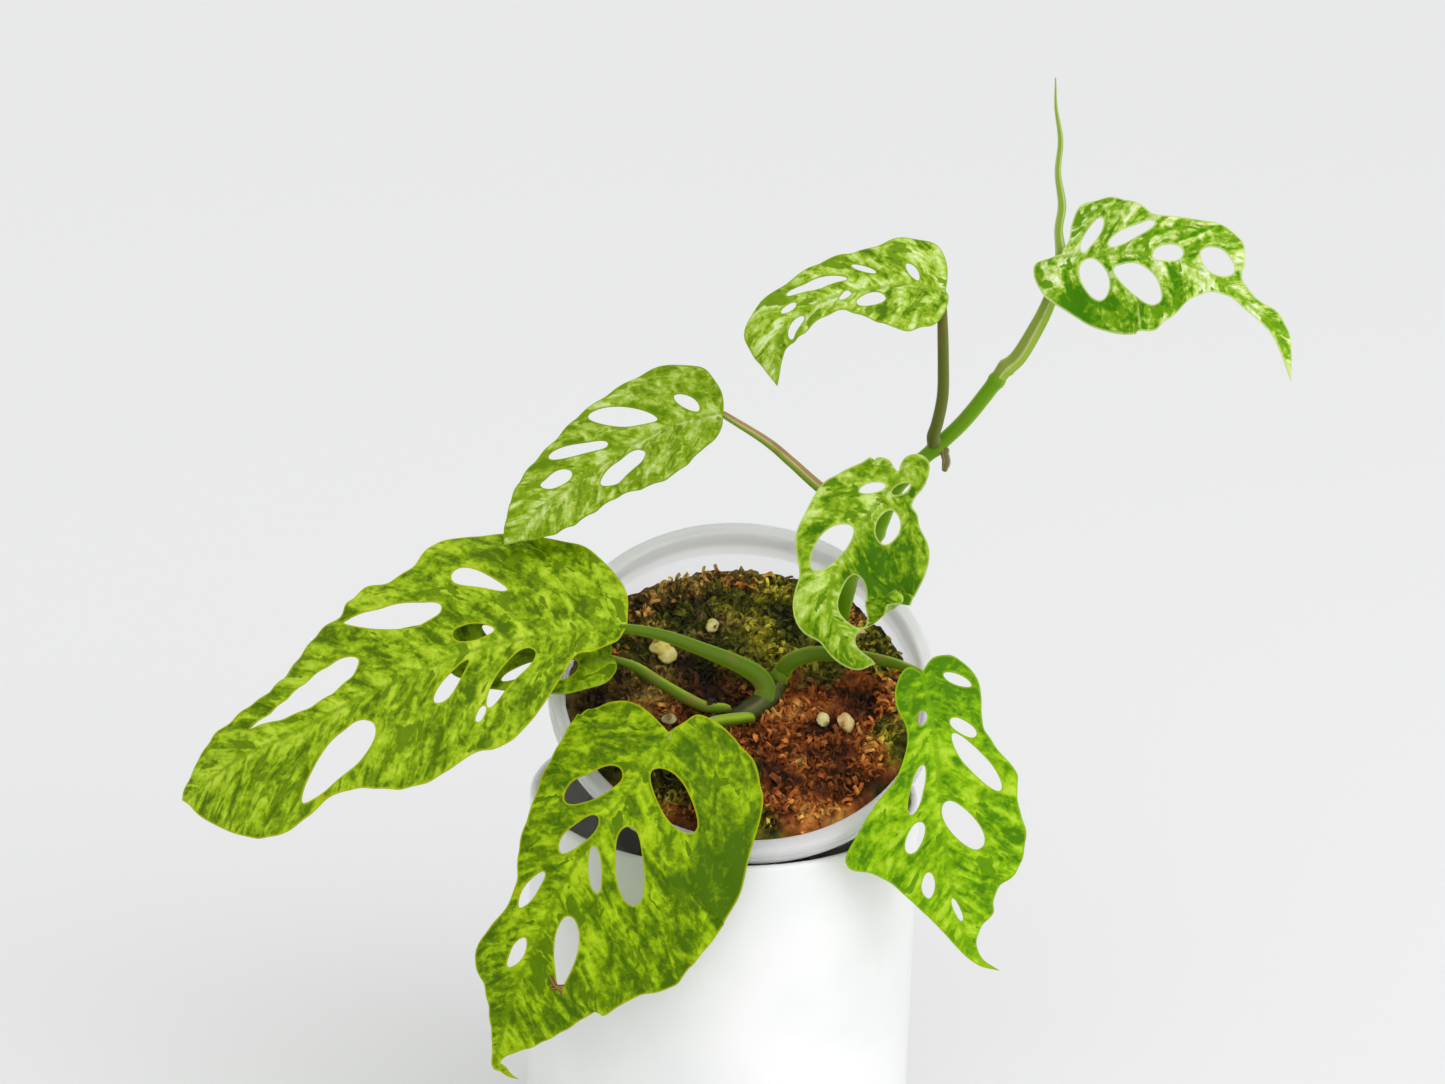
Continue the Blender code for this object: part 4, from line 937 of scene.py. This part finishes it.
def leaf_blade(name, leaf):
    """A blade with its holes, veins, puckers and wavy margin, as a thin closed mesh in metres."""
    form = Form(leaf)
    left = [leaf["sinus"], *leaf["left"], leaf["tip"]]
    right = [leaf["tip"], *leaf["right"][::-1], leaf["sinus"]]
    outline = np.concatenate(
        [even(smooth([(x, y, 0) for x, y in half], 8), RIM_SPACING) for half in (left, right)]
    )
    rings = [outline] + [hole_ring(hole, RIM_SPACING) for hole in leaf["holes"]]
    low, high = outline.min(0) - 1, outline.max(0) + 1
    rows = np.arange(low[0], high[0], BLADE_STEP * 0.866)
    lattice = []
    for k, x in enumerate(rows):
        ys = np.arange(low[1], high[1], BLADE_STEP) + (BLADE_STEP / 2 if k % 2 else 0)
        lattice.append(np.stack([np.full(len(ys), x), ys], 1))
    lattice = np.concatenate(lattice)
    keep = within(lattice, outline)
    for ring in rings[1:]:
        keep &= ~within(lattice, ring)
    keep &= nearest(lattice, np.concatenate(rings)) > 0.62 * BLADE_STEP
    points = np.concatenate([*rings, lattice[keep]])
    edges, start = [], 0
    for ring in rings:
        edges += [(start + k, start + (k + 1) % len(ring)) for k in range(len(ring))]
        start += len(ring)
    verts, _, faces, *_ = delaunay_2d_cdt([Vector(p) for p in points], edges, [], 0, 1e-5)
    flat = np.array([tuple(v) for v in verts])
    faces = np.array(faces)
    middle = flat[faces].mean(1)
    good = within(middle, outline)
    for ring in rings[1:]:
        good &= ~within(middle, ring)
    faces = faces[good]
    used = np.unique(faces)
    number = np.full(len(flat), -1)
    number[used] = np.arange(len(used))
    flat, faces = flat[used], number[faces]
    x, y = flat[:, 0], flat[:, 1]
    out = np.abs(y)
    length = leaf["tip"][0]
    slant = np.clip(0.25 + 0.75 * x / length, 0.1, 1.0)
    origin = x - slant * out
    phase = origin / VEIN_SPACING
    vein = np.abs(phase - np.round(phase)) * VEIN_SPACING
    margin = nearest(flat, outline)
    brink = np.minimum(margin, nearest(flat, np.concatenate(rings)))
    fade = np.clip(out / 4, 0, 1) * np.clip(1 - np.maximum(0, x / length - 0.8) / 0.2, 0, 1)
    puff = 0.7 * (1 - np.exp(-((vein / 2.2) ** 2))) * fade
    groove = 0.55 * np.exp(-((out / 1.3) ** 2)) * np.clip((length - x) / length + 0.1, 0, 1)
    ridge = (1.0 * np.clip(1 - x / length, 0.12, 1)) * np.exp(-((out / 1.0) ** 2))
    size, pitch = leaf["wave"]
    sway = [noise.noise(Vector((a / pitch, b / pitch, length))) for a, b in flat]
    flutter = [noise.noise(Vector((a, b, 0.0)) * (2.6 / pitch)) for a, b in flat]
    ruffle = 2.0 * np.array(sway) * np.exp(-margin / 9.0)
    ruffle = size * (ruffle + 0.8 * np.array(flutter) * np.exp(-margin / 4.0))
    ruffle *= np.clip(out / 6, 0, 1) * np.clip((x + 6) / 12, 0, 1)
    base = form.at(x, y)
    up = form.normal(x, y)
    thin = BLADE / 2 * np.clip(0.55 + brink / 3, 0.55, 1)
    upper = base + up * (ruffle + puff - groove + thin)[:, None]
    lower = base + up * (ruffle + puff - np.clip(ridge - 0.2, 0, 1) * 0.9 - thin)[:, None]
    count = len(flat)
    around = {}
    for a, b, c in faces:
        for pair in ((a, b), (b, c), (c, a)):
            around[pair] = True
    sides = [(b, a, a + count, b + count) for a, b in around if (b, a) not in around]
    mesh = bpy.data.meshes.new(name)
    solid = [tuple(f) for f in faces] + [tuple(f[::-1] + count) for f in faces] + sides
    mesh.from_pydata(np.concatenate([upper, lower]) * MM, [], [tuple(int(k) for k in f) for f in solid])
    spots = np.stack([origin, y, brink], 1)
    lines = np.stack([out, vein, np.zeros(count)], 1)
    if "plain" in leaf:
        px, py, reach = leaf["plain"]
        lines[:, 2] = np.exp(-((((x - px) ** 2 + (y - py) ** 2) / reach**2) ** 2))
    for title, values in (("growth", spots), ("veins", lines)):
        held = mesh.attributes.new(title, "FLOAT_VECTOR", "POINT")
        held.data.foreach_set("vector", np.concatenate([values, values]).astype(np.float32).ravel())
    under = np.zeros(len(solid), np.int32)
    under[len(faces) : 2 * len(faces)] = 1
    return mesh, under


def leaf_finish(name, skin, margin, seed, underside=False):
    """A marbled leaf: yellow-green blotches drawn out along the side veins, over darker islands.
    The living skin has a thin wax on it, so its gloss is soft and broad; the underside is matt."""
    deep, mid, pale, cream = skin
    made, tree, shader, where = new_finish(
        name,
        Roughness=0.6 if underside else 0.4,
        Specular_IOR_Level=0.07,
        Subsurface_Weight=0.03,
        Subsurface_Radius=(0.5, 1.0, 0.2),
        Subsurface_Scale=0.0012,
    )
    growth, veins = (
        add_node(tree, "ShaderNodeAttribute", attribute_name=title).outputs["Vector"]
        for title in ("growth", "veins")
    )
    rib, vein, plain = add_node(tree, "ShaderNodeSeparateXYZ", {"Vector": veins}).outputs
    edge = add_node(tree, "ShaderNodeSeparateXYZ", {"Vector": growth}).outputs["Z"]
    marks = []
    for along, out, detail, rough, lean in (
        (0.27, 0.15, 2.5, 0.6, 0.7),
        (0.09, 0.06, 2.0, 0.6, 0.0),
        (0.17, 0.12, 3.0, 0.5, 0.6),
    ):
        drawn_out = {"Scale": (along, out, 0.0), "Location": (seed * 3.7, seed * 1.3, seed)}
        placed = add_node(tree, "ShaderNodeMapping", {"Vector": growth}, drawn_out).outputs["Vector"]
        kind = {"Scale": 1.0, "Detail": detail, "Roughness": rough, "Distortion": lean}
        marks.append(add_node(tree, "ShaderNodeTexNoise", {"Vector": placed}, kind).outputs["Fac"])
    blotch, patch, islands = marks
    fine = {"Scale": 480.0, "Detail": 5.0, "Roughness": 0.66}
    speck = add_node(tree, "ShaderNodeTexNoise", {"Vector": where}, fine).outputs["Fac"]
    off_rib, off_vein, island, on_rib, on_edge, gloss = (
        add_node(
            tree,
            "ShaderNodeMapRange",
            {"Value": source},
            {"From Min": start, "From Max": end, "To Min": low, "To Max": high},
            interpolation_type="SMOOTHSTEP",
        ).outputs["Result"]
        for source, start, end, low, high in (
            (rib, 0.6, 6.0, 0.0, 1.0),
            (vein, 0.2, 1.6, 0.0, 1.0),
            (islands, 0.60, 0.625, 0.0, 1.0),
            (rib, 0.35, 1.1, 0.75, 0.0),
            (edge, 0.15, 0.8, 0.75, 0.0),
            (speck, 0.3, 0.7, 0.36, 0.5),
        )
    )
    tone = blotch
    for source, weight in ((speck, 0.62), (patch, 0.6), (off_rib, -0.08), (off_vein, 0.05), (plain, -0.2)):
        added = add_node(tree, "ShaderNodeMath", {0: source, 2: tone}, {1: weight}, operation="MULTIPLY_ADD")
        tone = added.outputs[0]
    spread = add_node(tree, "ShaderNodeMapRange", {"Value": tone}, {"From Min": 0.84, "From Max": 1.38})
    stops = [(0.12, deep), (0.38, mid), (0.60, pale), (0.90, cream)]
    shades = add_node(tree, "ShaderNodeValToRGB", {"Fac": spread.outputs["Result"]}, stops=stops)
    darker = {6: hex_colour(deep), 7: hex_colour(mid)}
    dark = add_node(tree, "ShaderNodeMix", {0: speck}, darker, data_type="RGBA").outputs[2]
    marbled = {0: island, 6: shades.outputs["Color"], 7: dark}
    colour = add_node(tree, "ShaderNodeMix", marbled, data_type="RGBA").outputs[2]
    for amount, code in ((on_rib, mid), (on_edge, margin)):
        layers = {0: amount, 6: colour}
        colour = add_node(tree, "ShaderNodeMix", layers, {7: hex_colour(code)}, data_type="RGBA").outputs[2]
    bump = add_node(tree, "ShaderNodeBump", {"Height": speck}, {"Strength": 0.25, "Distance": 0.0003})
    if underside:
        paler = {0: 0.45, 7: hex_colour("93A860")}
        colour = add_node(tree, "ShaderNodeMix", {6: colour}, paler, data_type="RGBA").outputs[2]
    else:
        feed(tree, shader, Roughness=gloss)
    feed(tree, shader, Base_Color=colour, Normal=bump.outputs["Normal"])
    return made


for seed, (name, leaf) in enumerate(LEAVES.items(), 1):
    mesh, under = leaf_blade(name, leaf)
    given = leaf["skin"], leaf["margin"], seed
    finishes = [leaf_finish(name + "_skin", *given), leaf_finish(name + "_underside", *given, underside=True)]
    put(name + "_blade", mesh, finishes, [name], sharp=55.0)
    mesh.polygons.foreach_set("material_index", under)

# --- Stems ------------------------------------------------------------------------------------
# A climbing vine with ringed joints, and a channelled stalk to each leaf whose foot clasps the
# joint that it grew from. The skins are smooth and green, darker underneath and pale along their
# upper edges: partly their real colour, partly painted shade underneath and a painted highlight on top.


def tube(
    name, route, radii, finish, slot, nodes=(), groove=0.0, squash=1.0, swell=(), up=(0.15, -0.35, 1.0)
):
    """A closed tapering stem along a route in mm. groove cuts a channel in its upper side, and
    swell lists (share of the length, extra radius, half width in mm) for joints and rings."""
    sides = 24
    line = np.array(smooth(route, 8))
    runs = np.concatenate([[0.0], np.cumsum(np.linalg.norm(np.diff(line, axis=0), axis=1))])
    count = max(8, int(runs[-1] / 0.9))
    marks = np.linspace(0, runs[-1], count + 1)
    shares = np.interp(marks, runs, np.linspace(0, 1, len(line)))
    spine = np.stack([np.interp(marks, runs, line[:, k]) for k in range(3)], 1)
    girth = np.interp(shares, np.linspace(0, 1, len(radii)), radii)
    for share, extra, width in swell:
        girth = girth + extra * np.exp(-(((marks - share * runs[-1]) / width) ** 2))
    ahead = np.gradient(spine, axis=0)
    ahead /= np.linalg.norm(ahead, axis=1)[:, None]
    upward_now = Vector(up)
    verts, spots = [], []
    cap = ((0.45, 0.5), (0.85, 0.25))
    rows = [(spine[0], ahead[0], girth[0] * s, -girth[0] * d, 0) for s, d in cap]
    rows += [(p, a, g, 0.0, m) for p, a, g, m in zip(spine, ahead, girth, marks)]
    rows += [(spine[-1], ahead[-1], girth[-1] * s, girth[-1] * d, marks[-1]) for s, d in cap[::-1]]
    for point, way, radius, push, mark in rows:
        way = Vector(way)
        upward_now = (upward_now - upward_now.dot(way) * way).normalized()
        across = way.cross(upward_now)
        for k in range(sides):
            angle = math.tau * k / sides
            off = math.atan2(math.sin(angle - math.pi / 2), math.cos(angle - math.pi / 2))
            dip = 1 - groove * math.exp(-((off / 0.45) ** 2))
            spot = across * math.cos(angle) * radius + upward_now * math.sin(angle) * radius * squash * dip
            verts.append(Vector(point) + way * push + spot)
            spots.append((mark, angle / math.tau, math.sin(angle)))
    faces = []
    for r in range(len(rows) - 1):
        for k in range(sides):
            a, b = r * sides + k, r * sides + (k + 1) % sides
            faces.append((a, a + sides, b + sides, b))
    for r, order in ((0, 1), (len(rows) - 1, -1)):
        point, way, radius, push, mark = rows[r]
        tip = len(verts)
        verts.append(Vector(point) + Vector(way) * push * 1.2)
        spots.append((mark, 0.0, 0.0))
        for k in range(sides):
            pair = (r * sides + k, r * sides + (k + 1) % sides)
            faces.append((*pair[::order], tip))
    mesh = bpy.data.meshes.new(name)
    mesh.from_pydata([v * MM for v in verts], [], faces)
    check = bmesh.new()
    check.from_mesh(mesh)
    bmesh.ops.recalc_face_normals(check, faces=check.faces)
    check.to_mesh(mesh)
    check.free()
    held = mesh.attributes.new("growth", "FLOAT_VECTOR", "POINT")
    held.data.foreach_set("vector", np.array(spots, np.float32).ravel())
    put(name, mesh, [finish], nodes, sharp=180.0)


def stem_finish(name, shades, seed, tan=0.3):
    """Living stem skin: smooth and waxy, streaked lengthways, from its underside over the flank and
    the pale edge of its channel into the channel, and tanned here and there. The darker underside is
    partly painted shade, and the pale upper edge is partly a painted highlight over the real colours."""
    made, tree, shader, where = new_finish(
        name,
        Roughness=0.4,
        Specular_IOR_Level=0.15,
        Subsurface_Weight=0.03,
        Subsurface_Radius=(0.6, 1.0, 0.3),
        Subsurface_Scale=0.001,
    )
    growth = add_node(tree, "ShaderNodeAttribute", attribute_name="growth").outputs["Vector"]
    height = add_node(tree, "ShaderNodeSeparateXYZ", {"Vector": growth}).outputs["Z"]
    lengthways = {"Scale": (0.10, 9.0, 2.0), "Location": (seed * 2.1, seed, seed)}
    placed = add_node(tree, "ShaderNodeMapping", {"Vector": growth}, lengthways).outputs["Vector"]
    streak, blotch = (
        add_node(tree, "ShaderNodeTexNoise", {"Vector": laid}, {"Scale": size, "Detail": fine}).outputs["Fac"]
        for laid, size, fine in ((placed, 1.0, 5.0), (where, 120.0, 3.0))
    )
    # The colour runs round the stem by height about its spine: the darker underside is partly painted shade,
    # the pale upper band partly a painted highlight.
    raised = {0: streak, 2: height}
    level = add_node(tree, "ShaderNodeMath", raised, {1: 0.3}, operation="MULTIPLY_ADD").outputs[0]
    hue = add_node(tree, "ShaderNodeMapRange", {"Value": level}, {"From Min": -0.85, "From Max": 1.15})
    stops = list(zip((0.12, 0.45, 0.78, 0.87, 0.95), shades))
    skin = add_node(tree, "ShaderNodeValToRGB", {"Fac": hue.outputs["Result"]}, stops=stops)
    ends = {"From Min": 0.54, "From Max": 0.64, "To Max": tan}
    worn = add_node(tree, "ShaderNodeMapRange", {"Value": blotch}, ends, interpolation_type="SMOOTHSTEP")
    tanned = {0: worn.outputs["Result"], 6: skin.outputs["Color"]}
    skin = add_node(tree, "ShaderNodeMix", tanned, {7: hex_colour("86623A")}, data_type="RGBA").outputs[2]
    bump = add_node(tree, "ShaderNodeBump", {"Height": streak}, {"Strength": 0.3, "Distance": 0.0004})
    feed(tree, shader, Base_Color=skin, Normal=bump.outputs["Normal"])
    return made


def behind(name, radius):
    """Where a stalk of this radius meets the back of its blade."""
    form = Form(LEAVES[name])
    x, y = np.array([0.0]), np.array([0.01])
    return Vector(form.at(x, y)[0] - form.normal(x, y)[0] * (radius * 0.75 + BLADE / 2))


vine_skin = stem_finish("vine_skin", ("64940A", "8CB21E", "98AC44", "B8C27A", "869A3C"), 1, 0.2)
stalk_skin = stem_finish("stalk_skin", ("5A641E", "69742A", "7A8444", "A2A670", "59622A"), 2)
crown_skin = stem_finish("crown_stalk_skin", ("56720C", "90AC26", "84A02A", "BCB678", "6E7E2C"), 3, 0.35)
tanned_skin = stem_finish("tanned_stalk_skin", ("5A7A10", "86A028", "94A83C", "D6B88A", "A48C5C"), 7, 0.3)
shoot_skin = stem_finish("rolled_leaf_skin", ("6E9010", "8CAC2C", "A2BC5A", "B9CB86", "8CA83C"), 4, 0.05)
root_skin = stem_finish("air_root_bark", ("4E4A28", "6E6840", "8A8258", "A39A70", "6E6840"), 5)
stub_skin = stem_finish("old_crown_skin", ("26290F", "3A401A", "4A5228", "66663A", "3E4020"), 6, 0.6)

# Each stem is given by its node, its finish, points on the moss as x, y and lift, points from the
# centre of the pot's rim, the leaf that it ends behind with its radius there, its radii from foot
# to tip, and its shape.
ACROSS_THE_MOSS = (0.1, -0.6, 1.0)
STEMS = {}
STEMS["vine_stem"] = dict(
    node="vine",
    finish=vine_skin,
    ground=[(30.5, 31.5, -2.0), (30.5, 31.5, 2.5)],
    route=[
        (31.5, 28.5, 20.5), (33, 30.5, 26), (37, 32.5, 31.5), (41, 34.5, 40.5), (44.5, 35.5, 50),
        (49, 35.5, 57.5), (57.5, 35.5, 66), (66, 34.5, 75.5), (75.5, 33.5, 89.5),
    ],
    radii=[2.3, 2.5, 2.5, 2.3, 2.4],
    shape=dict(swell=[(0.36, 0.5, 1.6), (0.55, 0.45, 1.5), (0.70, 0.5, 1.8), (0.985, 0.45, 1.2)]),
)
STEMS["top_stalk"] = dict(
    node="petiole_top",
    finish=vine_skin,
    route=[(74.5, 33.5, 88), (77, 33.5, 92), (81, 33.5, 96), (85.5, 33.5, 104.5), (89, 34, 112.5)],
    blade=("leaf_top", 1.5),
    radii=[2.3, 2.6, 2.5, 2.3, 1.8],
    shape=dict(groove=0.25, swell=[(0.12, 0.35, 0.9)]),
)
STEMS["rolled_new_leaf"] = dict(
    node="new_shoot",
    finish=shoot_skin,
    slot="leaf",
    route=[
        (90, 36, 116), (92, 39.5, 120), (92.6, 39, 127), (91.4, 38.3, 135), (91.9, 37.5, 143),
        (90, 37, 153), (90.2, 36.5, 163), (88.2, 36, 173), (87.5, 35.5, 182),
    ],
    radii=[1.4, 1.8, 1.75, 1.3, 1.3, 0.95, 0.85, 0.5, 0.2],
    shape=dict(groove=0.2),
)
STEMS["upper_stalk"] = dict(
    node="petiole_upper",
    finish=stalk_skin,
    route=[
        (56.5, 33.5, 68), (56, 31, 71), (57, 29.5, 76), (58, 27.5, 85), (57.5, 25.5, 96.5),
        (56.5, 23.5, 110),
    ],
    blade=("leaf_upper", 1.3),
    radii=[2.3, 1.9, 1.8, 1.7, 1.3],
    shape=dict(groove=0.25),
)
STEMS["back_stalk"] = dict(
    node="petiole_back",
    finish=tanned_skin,
    route=[
        (39.5, 36, 39.5), (37, 38.5, 41), (32, 39.5, 44), (22.5, 41, 49.5), (12.5, 41.5, 58),
        (4.5, 41.5, 64.5),
    ],
    blade=("leaf_back", 1.1),
    radii=[2.2, 1.9, 1.9, 1.7, 1.5, 1.1],
    shape=dict(groove=0.3),
)
STEMS["curled_stalk"] = dict(
    node="petiole_curled",
    finish=stalk_skin,
    route=[(49, 34.5, 57), (48, 32, 57), (47.5, 28, 59), (46.5, 22.5, 61)],
    blade=("leaf_curled", 1.0),
    radii=[1.8, 1.5, 1.3, 1.0],
    shape=dict(groove=0.2),
)
STEMS["air_root_stub"] = dict(
    node="air_root",
    finish=root_skin,
    slot="bark",
    route=[(60, 34.3, 65.5), (60, 34, 64), (60.5, 33, 62), (60, 32, 59.5)],
    radii=[1.4, 1.3, 1.3, 0.9],
    shape=dict(swell=[(0.7, 0.25, 0.5)]),
)
STEMS["crown_stub"] = dict(
    finish=stub_skin,
    ground=[
        (-7, -10, -2.5), (-3, -9.5, -0.2), (3, -7, 1.2), (8, -1, 1.0), (11, 5, -0.5), (12, 9, -3),
    ],
    radii=[1.8, 2.4, 3.6, 3.8, 3.0, 2.0],
    shape=dict(swell=[(0.3, 0.5, 1.0), (0.62, 0.5, 1.2)]),
)
STEMS["long_stalk"] = dict(
    node="petiole_long",
    finish=crown_skin,
    ground=[(6.0, -3.8, -2.0), (6.0, -3.8, 2.5)],
    route=[
        (6.5, 1.5, -3), (4, 2.5, 1), (-3, 2.5, 5), (-13.5, 1.5, 9.5), (-24, -0.5, 14), (-32.5, -2.5, 16.5),
    ],
    blade=("leaf_long", 1.3),
    radii=[3.0, 3.3, 3.0, 2.3, 1.7, 1.4],
    shape=dict(groove=0.5, squash=0.85, up=ACROSS_THE_MOSS),
)
STEMS["side_stalk"] = dict(
    node="petiole_side",
    finish=crown_skin,
    ground=[(11.0, 5.0, -2.0), (11.0, 5.0, 2.5)],
    route=[
        (11.5, 8.5, 0), (14, 7.5, 4), (20, 6.5, 7), (27.5, 4.5, 8), (35, 0.5, 9), (44, -6.5, 10),
        (49.5, -14.5, 11),
    ],
    blade=("leaf_side", 1.3),
    radii=[2.8, 2.9, 2.6, 2.1, 1.6, 1.3],
    shape=dict(groove=0.5, squash=0.85, up=ACROSS_THE_MOSS),
)
STEMS["under_stalk"] = dict(
    node="petiole_under",
    finish=crown_skin,
    ground=[(-5.0, -8.0, -2.0), (-5.0, -8.0, 2.5)],
    route=[(-11, -5, -7), (-17, -5, -4.5), (-26, -3, 0), (-33.5, -2, 4.5)],
    blade=("leaf_under", 1.1),
    radii=[1.0, 1.7, 1.9, 1.7, 1.1],
    shape=dict(groove=0.3, up=ACROSS_THE_MOSS),
)
STEMS["front_stalk"] = dict(
    node="petiole_front",
    finish=crown_skin,
    ground=[(2.0, -11.0, -2.0), (2.0, -11.0, 2.5)],
    route=[(-3, -10, -8.5), (-9, -16.5, -7), (-14.5, -24.5, -6), (-20, -32.5, -4)],
    blade=("leaf_front", 1.3),
    radii=[1.3, 2.0, 1.7, 1.3],
    shape=dict(groove=0.3),
)
for name, stem in STEMS.items():
    route = [on_moss(*spot) for spot in stem.get("ground", ())]
    route += [rim_centre + Vector(spot) for spot in stem.get("route", ())]
    route += [behind(*stem["blade"])] if "blade" in stem else []
    nodes = [stem["node"]] if "node" in stem else []
    tube(name, route, stem["radii"], stem["finish"], stem.get("slot", "stem"), nodes, **stem["shape"])

# --- Dried shreds -----------------------------------------------------------------------------
# Two brown, dried shreds of blade, thinner than a match, still bridge the foot of a hole in the
# hanging front leaf, grown into its margin at both ends.
hanging = Form(LEAVES["leaf_front"])
shred_skin = stem_finish("dried_blade", ("4A3018", "7A4E26", "95693A", "B08A52", "6A4522"), 8, 0.2)
for number, line in enumerate(
    (((80.5, 7.6), (82, 10.5), (80.8, 13.6)), ((84.2, 9.6), (82.2, 11.8), (84.6, 13.8)))
):
    along, out = np.array(line, float).T
    spots = hanging.at(along, out) + hanging.normal(along, out) * np.array([[0.2], [1.1], [0.2]])
    tube(f"dried_shred_{number}", [Vector(p) for p in spots], [0.4, 0.55, 0.3], shred_skin, "leaf")
